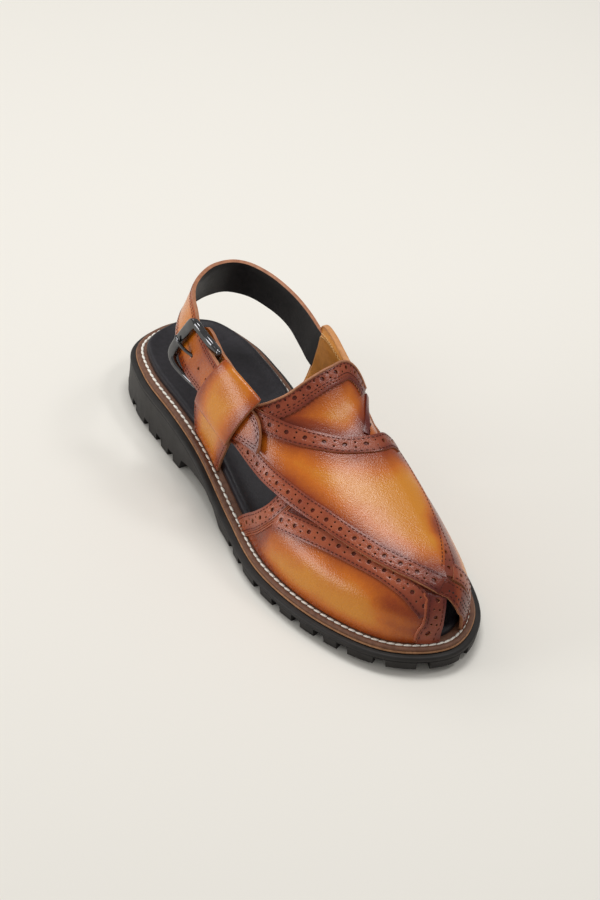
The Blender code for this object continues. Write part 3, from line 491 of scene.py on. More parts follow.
class Route:
    """A run over a strap between two of its (row, share) places: s along it, t square to it on
    the side that `inwards` points to, and h above the leather, in millimetres."""

    STEPS = 8             # of the way from the run to a place beside it
    REACH = 0.02          # to either side, for the slopes
    STEADY = 7.0          # the run's heading is taken over this much to either side

    def __init__(self, name, start, end, inwards):
        self.strap = STRAP[name]
        self.start = np.array(start, float)
        self.way = np.array(end, float) - self.start
        self.inwards = inwards
        self.parts = np.linspace(0, 1, 300)
        self.line = self.strap.place(*self.on_run(self.parts), 0)
        self.distance = travelled(self.line)
        self.length = self.distance[-1]
        self.heading = unit(read_off(self.distance + self.STEADY, self.distance, self.line)
                            - read_off(self.distance - self.STEADY, self.distance, self.line))
        by_row, by_share = self.slopes(*self.on_run(self.parts))
        self.to_inside = unit(by_row * inwards[0] + by_share * inwards[1])

    def on_run(self, part):
        return self.start[0] + self.way[0] * part, self.start[1] + self.way[1] * part

    def slopes(self, row, share):
        """How the strap's face goes with its rows and across it."""
        row = np.clip(row, self.REACH, self.strap.last - self.REACH)
        reach, place = self.REACH, self.strap.place
        by_row = place(row + reach, share, 0) - place(row - reach, share, 0)
        by_share = place(row, share + reach, 0) - place(row, share - reach, 0)
        return by_row / (2 * reach), by_share / (2 * reach)

    def spot(self, s, t):
        """Row and share of a place beside the run."""
        row, share = self.on_run(np.interp(s, self.distance, self.parts))
        step = np.asarray(t, float) / self.STEPS
        by_row, by_share = self.slopes(row, share)
        run = read_off(s, self.distance, self.heading)
        to_inside = by_row * self.inwards[0] + by_share * self.inwards[1]
        for _ in range(self.STEPS):
            square = unit(np.cross(np.cross(by_row, by_share), run))
            square = square * np.sign(np.sum(square * to_inside, axis=-1))[..., None]
            rows, shares, both = (np.sum(a * b, axis=-1) for a, b in (
                (by_row, by_row), (by_share, by_share), (by_row, by_share)))
            go_row, go_share = np.sum(by_row * square, axis=-1), np.sum(by_share * square, axis=-1)
            area = rows * shares - both**2
            row = row + step * (go_row * shares - go_share * both) / area
            row = np.clip(row, 0, self.strap.last)
            share = share + step * (go_share * rows - go_row * both) / area
            by_row, by_share = self.slopes(row, share)
        return row, share

    def place(self, s, t, h):
        return self.strap.place(*self.spot(s, t), h)


def billet_edges():
    table = np.asarray(BILLET, float)
    low = on_last(table[:, 0], table[:, 1], STRAP_STAND_OFF)
    top = on_last(table[:, 2], table[:, 3], STRAP_STAND_OFF)
    return np.hstack([low, top])


HEEL_STRAP_ROWS = np.vstack([HEEL_STRAP, billet_edges()])
HEEL_STRAP_KNOTS = travelled((HEEL_STRAP_ROWS[:, :3] + HEEL_STRAP_ROWS[:, 3:]) / 2)
HEEL_STRAP_LENGTH = HEEL_STRAP_KNOTS[-1]


def heel_strap_frame(where):
    """Lower edge, upper edge and outward normal of the heel strap at distances from its end."""
    where = np.asarray(where, float)
    edges = smooth(HEEL_STRAP_KNOTS, HEEL_STRAP_ROWS, where)
    ahead = smooth(HEEL_STRAP_KNOTS, HEEL_STRAP_ROWS, where + 0.5)
    behind = smooth(HEEL_STRAP_KNOTS, HEEL_STRAP_ROWS, where - 0.5)
    run = (ahead - behind)[..., :3] + (ahead - behind)[..., 3:]
    return edges[..., :3], edges[..., 3:], -unit(np.cross(edges[..., 3:] - edges[..., :3], run))


def by_heel_strap(where, across, out):
    """A point by the heel strap: along it, up from its middle line and out from its middle."""
    low, top, normal = heel_strap_frame(where)
    across, out = np.asarray(across)[..., None], np.asarray(out)[..., None]
    return (low + top) / 2 + unit(top - low) * across + normal * out


class HeelStrapRoute:
    """A run along the heel strap, t in from its upper or its lower edge."""

    def __init__(self, from_top, start, end):
        self.from_top = from_top
        self.start = start
        self.length = end - start

    def place(self, s, t, h):
        where = self.start + s
        low, top, _ = heel_strap_frame(where)
        half = np.linalg.norm(top - low, axis=-1) / 2
        across = half - t if self.from_top else t - half
        return by_heel_strap(where, across, STRAP_THICKNESS / 2 + h)


# -------------------------------------------------- making pieces
def bent_grid(work, points):
    """A grid of quads with a corner at each of the points, and the order in which it took them."""
    rows, columns = points.shape[:2]
    flat = ((points - ORIGIN) * MM).reshape(-1, 3)
    order = []
    grid = bmesh.ops.create_grid(work, x_segments=rows - 1, y_segments=columns - 1, size=0.5)
    for corner in grid["verts"]:
        i = round((corner.co.x + 0.5) * (rows - 1))
        j = round((corner.co.y + 0.5) * (columns - 1))
        order.append(i * columns + j)
        corner.co = flat[order[-1]]
    work.normal_update()
    return np.array(order)


def drop_squashed(work):
    """Takes away the faces of a band that have run together past a strap's end."""
    bmesh.ops.dissolve_degenerate(work, edges=work.edges, dist=0.02 * MM)
    thin = [face for face in work.faces if face.calc_area() < 0.002 * MM**2]
    bmesh.ops.delete(work, geom=thin, context="FACES")


def closed_shell(work):
    bmesh.ops.remove_doubles(work, verts=work.verts, dist=0.004 * MM)
    bmesh.ops.recalc_face_normals(work, faces=work.faces)


def face_outwards(work, outside):
    """Turns an open sheet over if its corners' normals point away from `outside`, one for each."""
    normals = np.array([corner.normal for corner in work.verts])
    if np.sum(normals * outside) < 0:
        bmesh.ops.reverse_faces(work, faces=work.faces)


def put_in_scene(name, data):
    holder = bpy.data.objects.new(name, data)
    bpy.context.scene.collection.objects.link(holder)
    return holder


def piece(name, work, finishes, node="upper", smooth_to=40.0):
    """The finished object of a bmesh, riding with the shoe in place of a node."""
    mesh = bpy.data.meshes.new(name)
    work.to_mesh(mesh)
    work.free()
    for finish in finishes:
        mesh.materials.append(finish)
    mesh.shade_smooth()
    mesh.set_sharp_from_angle(angle=math.radians(smooth_to))
    made = put_in_scene(name, mesh)
    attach(made, "root")
    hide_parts(node)
    return made


def swept(name, path, normals, half_width, half_height, squareness, finish,
          node="upper", closed=False):
    """A bar along a path, with a rounded-square section that is flat towards its normals."""
    ahead = np.roll(path, -1, axis=0) if closed else np.vstack([path[1:], 2 * path[-1] - path[-2]])
    behind = np.roll(path, 1, axis=0) if closed else np.vstack([2 * path[0] - path[1], path[:-1]])
    tangent = unit(ahead - behind)
    side = unit(np.cross(tangent, normals))
    out = np.cross(side, tangent)
    turn = np.linspace(0, 2 * math.pi, 21)
    half_width, half_height, squareness = (np.broadcast_to(value, len(path))[:, None]
                                           for value in (half_width, half_height, squareness))
    x = half_width * np.sign(np.cos(turn)) * np.abs(np.cos(turn)) ** squareness
    y = half_height * np.sign(np.sin(turn)) * np.abs(np.sin(turn)) ** squareness
    points = path[:, None] + side[:, None] * x[..., None] + out[:, None] * y[..., None]
    if closed:
        points = np.concatenate([points, points[:1]])
    else:
        ends = [path[end, None] + 0 * points[:1] for end in (slice(0, 1), slice(-1, None))]
        points = np.concatenate([ends[0], points, ends[1]])
    work = bmesh.new()
    bent_grid(work, points)
    closed_shell(work)
    return piece(name, work, [finish], node, 50)


def sheet(name, points, outside, finishes):
    """An open sheet through a grid of points, facing `outside`, and the order of its corners."""
    work = bmesh.new()
    order = bent_grid(work, points)
    face_outwards(work, outside.reshape(-1, 3)[order])
    return piece(name, work, finishes), order


def leather_wall(made, thickness, round_edge=EDGE_ROUND, even=True):
    """Gives a face its thickness, with the second finish inside and the third on its edges."""
    wall = made.modifiers.new("wall", "SOLIDIFY")
    wall.thickness = thickness * MM
    wall.offset = -1
    wall.use_even_offset = even
    wall.material_offset = 1
    wall.material_offset_rim = 2
    edge = made.modifiers.new("edge", "BEVEL")
    edge.width = round_edge * MM
    edge.segments = 2
    edge.limit_method = "ANGLE"
    edge.angle_limit = math.radians(50)


def set_dye_and_painted_shade(made, values):
    """How dark the leather is at each vertex, from its dye and from painted shade, for its finish
    to read.
    """
    store = made.data.attributes.new("dye_and_painted_shade", "FLOAT", "POINT")
    store.data.foreach_set("value", np.asarray(values, np.float32))


def along_axes(tangent, normal, centre):
    """Matrices that put a part's X along the tangent and its Z along the normal."""
    tangent = unit(tangent)
    side = unit(np.cross(normal, tangent))
    normal = np.cross(tangent, side)
    places = []
    for t, s, n, c in zip(tangent, side, normal, (centre - ORIGIN) * MM):
        places.append(Matrix(((t[0], s[0], n[0], c[0]), (t[1], s[1], n[1], c[1]),
                              (t[2], s[2], n[2], c[2]), (0, 0, 0, 1))))
    return places


def add_to(work, few):
    """Moves a small bmesh into a large one, which is quicker than making its parts there."""
    mesh = bpy.data.meshes.new("few")
    few.to_mesh(mesh)
    few.free()
    work.from_mesh(mesh)
    bpy.data.meshes.remove(mesh)


def sew(work, route, across, start, end, height, pitch=SEAM_PITCH, stitch=SEAM_STITCH, slant=0.0):
    """A row of stitches along a route, as beads half sunk in the leather."""
    count = max(1, round((route.length - start - end) / pitch))
    s = start + (np.arange(count) + 0.5) * (route.length - start - end) / count
    centre = route.place(s, across, height)
    tangent = route.place(s + 0.4, across, height) - route.place(s - 0.4, across, height)
    normal = route.place(s, across, height + 1) - centre
    size = Matrix.Diagonal((*(np.array(stitch) / 2 * MM), 1))
    turn = Matrix.Rotation(slant, 4, "Z") @ size @ Matrix.Rotation(math.pi / 2, 4, "Y")
    places = along_axes(tangent, normal, centre)
    for first in range(0, count, AT_ONCE):
        few = bmesh.new()
        for place in places[first:first + AT_ONCE]:
            bmesh.ops.create_uvsphere(few, u_segments=8, v_segments=5, radius=1.0,
                                      matrix=place @ turn)
        add_to(work, few)


# -------------------------------------------------- finishes
class Finish:
    """A material with short ways to add the nodes that a finish needs; sizes are in millimetres."""

    def __init__(self, name, roughness, **shader):
        self.material = bpy.data.materials.new(name)
        self.material.use_nodes = True
        self.tree = self.material.node_tree
        self.shader = self.tree.nodes["Principled BSDF"]
        self.shader.inputs["Roughness"].default_value = roughness
        for socket, value in shader.items():
            self.shader.inputs[socket.replace("_", " ")].default_value = value
        self.place = self.add("ShaderNodeTexCoord").outputs["Object"]

    def add(self, kind, **settings):
        node = self.tree.nodes.new(kind)
        for key, value in settings.items():
            setattr(node, key, value)
        return node

    def link(self, source, target):
        self.tree.links.new(source, target)

    def texture(self, kind, size, output, **inputs):
        node = self.add(kind)
        inputs["Scale"] = 1 / (size * MM)
        for socket, value in inputs.items():
            node.inputs[socket].default_value = value
        self.link(self.place, node.inputs["Vector"])
        return node.outputs[output]

    def noise(self, size, detail):
        return self.texture("ShaderNodeTexNoise", size, "Fac", Detail=detail, Roughness=0.55)

    def cells(self, size):
        return self.texture("ShaderNodeTexVoronoi", size, "Distance")

    def varied(self, first, second, factor):
        """first + factor * (second - 0.5)"""
        scaled = self.add("ShaderNodeMath", operation="MULTIPLY_ADD")
        self.link(second, scaled.inputs[0])
        scaled.inputs[1].default_value = factor
        scaled.inputs[2].default_value = -factor / 2
        total = self.add("ShaderNodeMath", operation="ADD")
        self.link(first, total.inputs[0])
        self.link(scaled.outputs[0], total.inputs[1])
        return total.outputs[0]

    def colours(self, source, stops):
        ramp = self.add("ShaderNodeValToRGB")
        elements = ramp.color_ramp.elements
        while len(elements) < len(stops):
            elements.new(0.5)
        for element, (position, colour) in zip(elements, stops):
            element.position = position
            element.color = (*colour, 1.0)
        self.link(source, ramp.inputs["Fac"])
        self.link(ramp.outputs["Color"], self.shader.inputs["Base Color"])

    def rough(self, source, low, high):
        node = self.add("ShaderNodeMapRange")
        node.inputs["To Min"].default_value = low
        node.inputs["To Max"].default_value = high
        self.link(source, node.inputs["Value"])
        self.link(node.outputs["Result"], self.shader.inputs["Roughness"])

    def bump(self, *layers):
        """Relief from layers of (source, depth)."""
        normal = None
        for source, depth in layers:
            node = self.add("ShaderNodeBump")
            node.inputs["Distance"].default_value = depth * MM
            self.link(source, node.inputs["Height"])
            if normal is not None:
                self.link(normal, node.inputs["Normal"])
            normal = node.outputs["Normal"]
        self.link(normal, self.shader.inputs["Normal"])
        return self.material


def burnished(name, stops, roughness, cloud=0.22):
    """Polished leather, darker where its dye and painted shade are high, with pores and fine grain.
    """
    made = Finish(name, roughness, Specular_IOR_Level=0.34, Coat_Weight=0.08, Coat_Roughness=0.15)
    dye = made.add("ShaderNodeAttribute", attribute_name="dye_and_painted_shade").outputs["Fac"]
    dye = made.varied(dye, made.noise(13, 2), cloud)
    made.colours(made.varied(dye, made.noise(2.4, 4), 0.14), stops)
    made.rough(made.noise(5, 3), roughness - 0.07, roughness + 0.07)
    return made.bump((made.noise(1.1, 3), 0.10), (made.cells(0.8), 0.075))


def plain_leather(name, dark, light, roughness, grain=0.5, gloss=0.35):
    """Leather of one dye with fine grain."""
    made = Finish(name, roughness, Specular_IOR_Level=gloss)
    made.colours(made.noise(3, 4), ((0.3, dark), (0.7, light)))
    made.rough(made.noise(4, 3), roughness - 0.06, roughness + 0.08)
    return made.bump((made.noise(grain * 2.2, 3), 0.05), (made.cells(grain), 0.04))


HONEY = (0.58, 0.215, 0.018)
AMBER = (0.50, 0.125, 0.008)
CHESTNUT = (0.26, 0.042, 0.006)
OXBLOOD = (0.125, 0.015, 0.004)

TAN = burnished("tan_leather", ((0.08, HONEY), (0.32, AMBER), (0.62, CHESTNUT), (1.0, OXBLOOD)),
                0.26)
BAND = burnished("band_leather", ((0.0, (0.41, 0.105, 0.040)), (0.5, (0.25, 0.050, 0.020)),
                                  (1.0, (0.10, 0.012, 0.008))), 0.29, cloud=0.7)
CUT_EDGE = plain_leather("cut_edge", (0.30, 0.115, 0.055), (0.46, 0.205, 0.105), 0.5, grain=0.3)
FOLDED_EDGE = plain_leather("folded_edge", (0.48, 0.20, 0.06), (0.60, 0.28, 0.10), 0.42, grain=0.4)
BLACK_LINING = plain_leather("black_lining", (0.010, 0.009, 0.010), (0.019, 0.017, 0.019), 0.5)
TAN_FACING = plain_leather("tan_facing", (0.58, 0.215, 0.030), (0.72, 0.29, 0.045), 0.42)
TAN_LINING = plain_leather("tan_lining", (0.36, 0.13, 0.020), (0.46, 0.18, 0.032), 0.5)
INSOLE_LEATHER = plain_leather("insole_leather", (0.011, 0.0095, 0.012), (0.019, 0.0165, 0.021),
                               0.40, gloss=0.24)
WELT_LEATHER = plain_leather("welt_leather", (0.11, 0.045, 0.024), (0.18, 0.082, 0.046), 0.55,
                             grain=0.4)
MIDSOLE_EDGE = plain_leather("midsole_edge", (0.30, 0.14, 0.065), (0.44, 0.22, 0.11), 0.6,
                             grain=0.3)
# near-black beads that stand for pinholes: painted shade of the holes
PINHOLE_PAINTED_SHADE = plain_leather("pinhole_painted_shade", (0.010, 0.005, 0.004), (0.020, 0.009, 0.007), 0.8)


def thread(name, dark, light, roughness):
    made = Finish(name, roughness, Specular_IOR_Level=0.15)
    made.colours(made.noise(0.8, 2), ((0.3, dark), (0.7, light)))
    return made.bump((made.noise(0.25, 2), 0.06))


BROWN_THREAD = thread("brown_thread", (0.055, 0.011, 0.006), (0.10, 0.022, 0.012), 0.7)
TAN_THREAD = thread("tan_thread", (0.70, 0.42, 0.16), (0.85, 0.55, 0.25), 0.6)
WHITE_THREAD = thread("white_thread", (0.78, 0.74, 0.66), (0.90, 0.87, 0.80), 0.5)


def rubber():
    made = Finish("black_rubber", 0.55, Specular_IOR_Level=0.28)
    made.colours(made.noise(6, 4), ((0.3, (0.0125, 0.0108, 0.0100)),
                                    (0.7, (0.020, 0.0175, 0.0163))))
    made.rough(made.noise(8, 4), 0.46, 0.62)
    return made.bump((made.noise(1.6, 3), 0.06), (made.noise(0.35, 2), 0.03))


def gunmetal():
    made = Finish("gunmetal", 0.12, Metallic=1.0)
    made.colours(made.noise(5, 3), ((0.3, (0.09, 0.09, 0.095)), (0.7, (0.13, 0.13, 0.135))))
    made.rough(made.noise(2.5, 3), 0.05, 0.09)
    return made.bump((made.noise(5, 2), 0.01))


RUBBER = rubber()
GUNMETAL = gunmetal()

# -------------------------------------------------- straps
# How far the dark dye reaches in from each side of a strap: strength and reach at its first edge,
# its second edge, its start and its end
BURNISH = {
    "over_strap": ((0.45, 5), (0.5, 6), (0.3, 10), (0.85, 30)),
    "throat": ((0.4, 5), (0.8, 16), (0.8, 14), (0.9, 9)),
    "lateral_front": ((0.4, 6), (0.5, 6), (0.6, 6), (0.6, 8)),
    "medial_front": ((0.4, 6), (0.5, 6), (0.4, 6), (0.4, 6)),
    "medial_quarter": ((0.5, 8), (0.5, 8), (0.6, 20), (0.5, 8)),
    "lateral_quarter": ((0.8, 8), (0.85, 8), (0.5, 8), (0.85, 12)),
    "keeper": ((0.6, 7), (0.62, 9), (0.8, 9), (0.5, 10)),
}
BAND_SHADE = (1.0, 16)    # the same beside a punched band
CROSSING_PAINTED_SHADE = (0.85, 9)  # and painted shade beside where another strap crosses over it
# Places made darker, and paler ones below 0: along, girth, reach and strength
DARK_PLACES = {
    "over_strap": ((-97, 0.60, 8, 0.3), (-104, 0.57, 7, 0.25), (-54, 0.63, 9, 0.25),
                   (-60, 0.50, 10, 0.15), (-137, 0.52, 11, 0.6), (-137, 0.75, 16, 0.7)),
    "throat": ((-36, 0.52, 6, 0.35), (-22, 0.30, 10, 0.25)),
    "lateral_front": ((-42, 0.05, 12, 0.35), (-128, 0.20, 9, 0.35), (-132, 0.08, 9, 0.3)),
    "medial_front": ((-104, 0.86, 15, -0.4), (-128, 0.82, 14, -0.5)),
    "keeper": ((28, 0.10, 8, 0.3),),
}
BAND_HOLE_PAINTED_SHADE = 1.15         # painted shade on the leather that shows through a band's holes
BAND_DYE = 0.35
BAND_END_SHADE = (0.45, 24)     # how a band darkens to its far end: strength and reach
BAND_EDGE_SHADE = (0.3, 3)      # and to its edges
PIPING_DYE = 0.3
HEEL_STRAP_DYE = 0.2
HEEL_STRAP_SHADES = (     # where it is darker: at its edges, at its tip and round its spare hole
    (0.36, 3.5), (0.4, 9), (0.34, 16))
TAB_SHADE = (0.25, 45, 20)      # on its tab: strength, and where it starts and how soon it is full
CHAPE_SHADE = (0.45, 4)


def nearest(points, line):
    """Which point of a line each point is nearest to, and how far away."""
    tree = kdtree.KDTree(len(line))
    for index, point in enumerate(line):
        tree.insert(point, index)
    tree.balance()
    found = [tree.find(point) for point in points.reshape(-1, 3)]
    index = np.array([hit[1] for hit in found]).reshape(points.shape[:-1])
    return index, np.array([hit[2] for hit in found]).reshape(points.shape[:-1])


def dye_and_painted_shade_of(strap, row, share, bands, beside):
    """How dark the leather is at places of a strap: its dye, with painted shade beside straps that
    cross over it and under its bands' holes.
    """
    points = strap.place(row, share, 0)
    rows, shares = np.linspace(0, strap.last, 900), np.linspace(0, 1, 200)
    sides = [strap.place(rows, 0, 0), strap.place(rows, 1, 0),
             strap.place(0, shares, 0), strap.place(strap.last, shares, 0)]
    found = [nearest(points, side) for side in sides]
    lines = [nearest(points, band.line) for band in bands]
    # painted shade beside the runs where another strap crosses over this one
    found += [nearest(points, run.line) for run in beside]
    shades = [BAND_SHADE] * len(bands) + list(BURNISH[strap.name]) + [CROSSING_PAINTED_SHADE] * len(beside)
    dye = 0 * row
    for (_, distance), (strength, reach) in zip(lines + found, shades):
        dye = np.maximum(dye, strength * np.exp(-(distance / reach) ** 1.6))
    along, girth, _ = strap.on_last(row, share)
    for along_at, girth_at, reach, strength in DARK_PLACES.get(strap.name, ()):
        away = np.hypot(along - along_at, (girth - girth_at) * GIRTH_MM)
        dye = dye + shade(away, strength, reach)
    # painted shade on the strap under each band, which shows through its holes
    for band, (index, distance) in zip(bands, lines):
        inside = np.sum((points - band.line[index]) * band.to_inside[index], axis=-1) > -0.2
        ended = (index == 0) | (index == len(band.line) - 1)
        dye = np.where((distance < BAND_WIDTH - 0.8) & inside & ~ended, BAND_HOLE_PAINTED_SHADE, dye)
    return dye


def make_strap(name, lining, bands=(), beside=(), cell=1.6):
    """The leather of one strap, as a sheet over the last with its wall inside. Its dye is darker
    by its bands, and painted shade darkens it by the runs beside it where another strap crosses."""
    strap = STRAP[name]
    fine_rows = np.linspace(0, strap.last, 400)
    run = np.maximum(*(travelled(strap.place(fine_rows, share, 0)) for share in (0.2, 0.8)))
    row = np.interp(np.linspace(0, run[-1], int(run[-1] / cell) + 1), run, fine_rows)
    across = max(4, int(strap.width(fine_rows).max() / cell))
    row, share = np.meshgrid(row, np.linspace(0, 1, across + 1), indexing="ij")
    points = strap.place(row, share, 0)
    made, order = sheet(name, points, strap.place(row, share, 1) - points, (TAN, lining, CUT_EDGE))
    set_dye_and_painted_shade(made, dye_and_painted_shade_of(strap, row, share, bands, beside).reshape(-1)[order])
    leather_wall(made, LEATHER)


# -------------------------------------------------- punched bands
def hole_pattern(length, width, pitch=HOLE_PITCH):
    """Big holes down the middle of a band, pairs of small ones between: s, t, radius, corners."""
    count = max(1, round(length / pitch))
    pitch = length / count
    holes = []
    for i in range(count):
        at = (i + 0.5) * pitch
        holes.append((at, width / 2, BIG_HOLE, 16))
        if at + pitch / 2 < length - 1.5:
            for side in (-0.5, 0.5):
                holes.append((at + pitch / 2, width / 2 + side * SMALL_APART, SMALL_HOLE, 8))
    return holes


def throat_holes(length, width):
    """Large holes and pairs nearer the collar, over a row of pinpricks along the pinked edge."""
    holes = [(s, t - 1.2, *size) for s, t, *size in hole_pattern(length, width, 8.6)]
    for i in range(round(length / PINPRICK_PITCH)):
        holes.append(((i + 0.5) * PINPRICK_PITCH, width - 1.5, *PINPRICK))
    return [hole for hole in holes if 1 < hole[0] < length - 1]


def punched_blank(length, width, holes, teeth=0.0):
    """A flat strip with round holes, cut often enough to bend; `teeth` pinks its far edge."""
    blank = bmesh.new()
    flat = Matrix.Translation((length / 2, width / 2, 0)) @ Matrix.Diagonal((length, width, 1, 1))
    bmesh.ops.create_grid(blank, x_segments=1, y_segments=1, size=0.5, matrix=flat)
    bmesh.ops.delete(blank, geom=blank.faces[:], context="FACES_ONLY")
    if teeth:
        steps = 2 * round(length / TOOTH_PITCH)
        far = [edge for edge in blank.edges if all(v.co.y > width / 2 for v in edge.verts)]
        cut = bmesh.ops.subdivide_edges(blank, edges=far, cuts=steps - 1)
        for v in cut["geom_inner"]:
            if isinstance(v, bmesh.types.BMVert) and round(v.co.x / (length / steps)) % 2:
                v.co.y += teeth
    for s, t, radius, corners in holes:
        bmesh.ops.create_circle(blank, segments=corners, radius=radius,
                                matrix=Matrix.Translation((s, t, 0)))
    bmesh.ops.triangle_fill(blank, edges=blank.edges[:], use_beauty=True, normal=(0, 0, 1))
    bends = np.linspace(0, length, round(length / BEND_PITCH) + 1)[1:-1]
    cuts = [((at, 0, 0), (1, 0, 0)) for at in bends]
    cuts += [((0, width * part, 0), (0, 1, 0)) for part in (0.25, 0.5, 0.75)]
    for place, normal in cuts:
        bmesh.ops.bisect_plane(blank, geom=blank.verts[:] + blank.edges[:] + blank.faces[:],
                               plane_co=place, plane_no=normal)
    return blank


def shade(distance, strength, reach):
    """Dye that fades with distance."""
    return strength * np.exp(-(distance / reach) ** 2)


def make_band(name, route, start, end, width=BAND_WIDTH, holes=None, teeth=0.0, near=0.0,
              dye=BAND_DYE, thickness=BAND_THICKNESS):
    """A punched band laid on a strap along a route, its near edge at t = near. Its dye darkens
    towards its edges and its far end."""
    length = end - start
    if holes is None:
        holes = hole_pattern(length, width)
    work = punched_blank(length, width, holes, teeth)
    rim = work.verts.layers.float.new("dye_and_painted_shade")
    flat = np.array([corner.co for corner in work.verts])
    row, share = route.spot(flat[:, 0] + start, flat[:, 1] + near)
    points = route.strap.place(row, share, thickness)
    outside = points - route.strap.place(row, share, thickness - 1)
    for corner, point in zip(work.verts, (points - ORIGIN) * MM):
        corner[rim] = dye
        for away, (strength, reach) in ((min(corner.co.y, width - corner.co.y), BAND_EDGE_SHADE),
                                        (length - corner.co.x, BAND_END_SHADE)):
            corner[rim] += strength * max(0.0, 1 - away / reach)
        corner.co = point
    work.normal_update()
    face_outwards(work, outside)
    drop_squashed(work)
    made = piece(name, work, (BAND, BAND, CUT_EDGE if holes else BAND))
    leather_wall(made, thickness, BAND_EDGE_ROUND, even=False)


def make_piping(name, route, across, start, end, half_width=0.55, half_height=0.5, finish=CUT_EDGE):
    """A raised cord of leather along a route, at a distance in from it."""
    s = np.linspace(start, end, max(8, int((end - start) / PIPING_STEP)))
    path = route.place(s, across, half_height * PIPING_SUNK)
    normals = route.place(s, across, half_height * PIPING_SUNK + 1) - path
    made = swept(name, path, unit(normals), half_width, half_height, 0.9, finish)
    set_dye_and_painted_shade(made, np.full(len(made.data.vertices), PIPING_DYE))


def make_seam(name, rows, node="upper", slot="upper_leather", finish=BROWN_THREAD, **stitching):
    """One piece of thread work: rows of (route, distance in from the edge, start, end, height)."""
    work = bmesh.new()
    for row in rows:
        sew(work, *row, **stitching)
    piece(name, work, [finish], node, 180)


def edge_run(name, second_edge, start, end):
    """A run along one edge of a strap, from row to row."""
    share = 1 if second_edge else 0
    return Route(name, (start, share), (end, share), (0, 1 - 2 * share))


OVER_TOP = edge_run("over_strap", False, 0.0, 8.97)
OVER_LOW = edge_run("over_strap", True, 0.0, 16.0)
OVER_MEDIAL = edge_run("over_strap", False, 9.2, 15.7)
TOE_STRAP_UPPER = edge_run("over_strap", False, 16.3, 21.0)
TOE_STRAP_LOWER = edge_run("over_strap", True, 16.0, 21.0)
THROAT_TOP = edge_run("throat", False, 0.0, 7.6)
THROAT_END = Route("throat", (8.0, 0), (8.0, 1), (-1, 0))
FRONT_REAR = edge_run("lateral_front", False, 0.0, 4.5)
FRONT_TOP = Route("lateral_front", (3.0, 0), (3.0, 1), (-1, 0))
FRONT_TOE = edge_run("lateral_front", True, 0.0, 4.3)
MEDIAL_REAR = edge_run("medial_front", False, 1.6, 5.0)
MEDIAL_TOP = Route("medial_front", (1.95, 0), (1.35, 1), (-1, 0))
MEDIAL_TOE = edge_run("medial_front", True, 0.9, 5.0)
QUARTER_REAR = edge_run("medial_quarter", False, 2.5, 8.0)
QUARTER_FRONT = edge_run("medial_quarter", True, 1.0, 8.0)
LATERAL_REAR = edge_run("lateral_quarter", False, 0.0, 5.0)
LATERAL_FRONT = edge_run("lateral_quarter", True, 0.0, 5.0)
# Rows of the quarter, and how far below its face the facing lies there
FACING_DEPTH = ((1.6, 3.4), (3, 4.2), (5, 5.4), (6, 6.7), (8, 6.0))
FACING_REACH = (0.004, 0.62)    # of the quarter's share
FACING_THICKNESS = 0.9
FACING_SEAMS = (3.6, 5.2)
FACING_STITCH = (1.9, 0.7, 0.7)
FOLD_ROWS = (1.4, 5.6)
FOLD_HALF = 1.6           # half of the folded edge's depth inwards, and half its height
FOLD_HALF_HEIGHT = 0.7
FOLD_DEPTH = 2.9          # of the facing at its fold, below the quarter's face
FOLD_BEND = 7.0           # how far below the fold it reaches its own depth
SEAM_IN = 1.5             # a band's stitch lines from its near edge
SEAM_OUT = BAND_WIDTH - 1.1
EDGE_SEAM = 1.6           # a plain strap's stitch lines from its edge
SECOND_SEAM = 3.4
TOE_SEAM = 1.4
THROAT_SEAMS = (1.3, BAND_WIDTH - 3.1)
TOP_BAND_SEAMS = (SEAM_IN, TOP_BAND_WIDTH - 1.2)
PINHOLE = (1.1, 1.1, 0.3)       # as a stitch
FOLD_SHARE = 0.76         # of the throat's end that its folded leather covers
THROAT_FOLD_WIDTH = 4.6
THROAT_FOLD_NEAR = -1.7   # its near edge, past the throat's own
COLLAR_ROLL = (0.75, 1.0)     # half width and half height
PIPING_STEP = 1.2
PIPING_SUNK = 0.4         # its middle stands this part of its half height over the leather


def band_seams(run, height=BAND_THICKNESS, lines=(SEAM_IN, SEAM_OUT), start=1, end=1):
    """The two stitch lines of a band."""
    return [(run, across, start, end, height) for across in lines]


def plain_seams(run, *lines):
    """Stitch lines on a strap's own leather."""
    return band_seams(run, 0, lines)


def make_over_strap():
    make_strap("over_strap", BLACK_LINING, (OVER_TOP, OVER_LOW))
    make_band("over_strap_top_band", OVER_TOP, 0, OVER_TOP.length, dye=0.42)
    make_band("over_strap_low_band", OVER_LOW, 0, OVER_LOW.length)
    make_seam("over_strap_seams", (
        *band_seams(OVER_TOP), *band_seams(OVER_LOW), *plain_seams(OVER_MEDIAL, EDGE_SEAM),
        *plain_seams(TOE_STRAP_UPPER, TOE_SEAM), *plain_seams(TOE_STRAP_LOWER, TOE_SEAM)))
    # the toe strap's pinholes, as dark beads of painted shade
    pinholes = ((TOE_STRAP_LOWER, 4.0, 4, 2, 0), (TOE_STRAP_LOWER, 6.4, 12, 2, 0))
    make_seam("toe_strap_pinholes", pinholes, finish=PINHOLE_PAINTED_SHADE, pitch=2.3, stitch=PINHOLE)


def make_throat():
    # painted shade on the throat beside the over strap's top edge, which crosses over it
    make_strap("throat", BLACK_LINING, (THROAT_TOP,), (OVER_TOP,))
    length = THROAT_TOP.length
    holes = throat_holes(length, BAND_WIDTH)
    make_band("throat_band", THROAT_TOP, 0, length, holes=holes, teeth=0.9, dye=0.5)
    # the fold's dark dye of 0.8 is partly its own darker leather and partly painted shade
    make_band("throat_fold", THROAT_END, 0.5, THROAT_END.length * FOLD_SHARE, THROAT_FOLD_WIDTH, [],
              near=THROAT_FOLD_NEAR, dye=0.8)
    make_piping("collar_roll", THROAT_TOP, -0.1, 0.5, length - 0.5, *COLLAR_ROLL)
    make_seam("throat_seams", band_seams(THROAT_TOP, lines=THROAT_SEAMS))


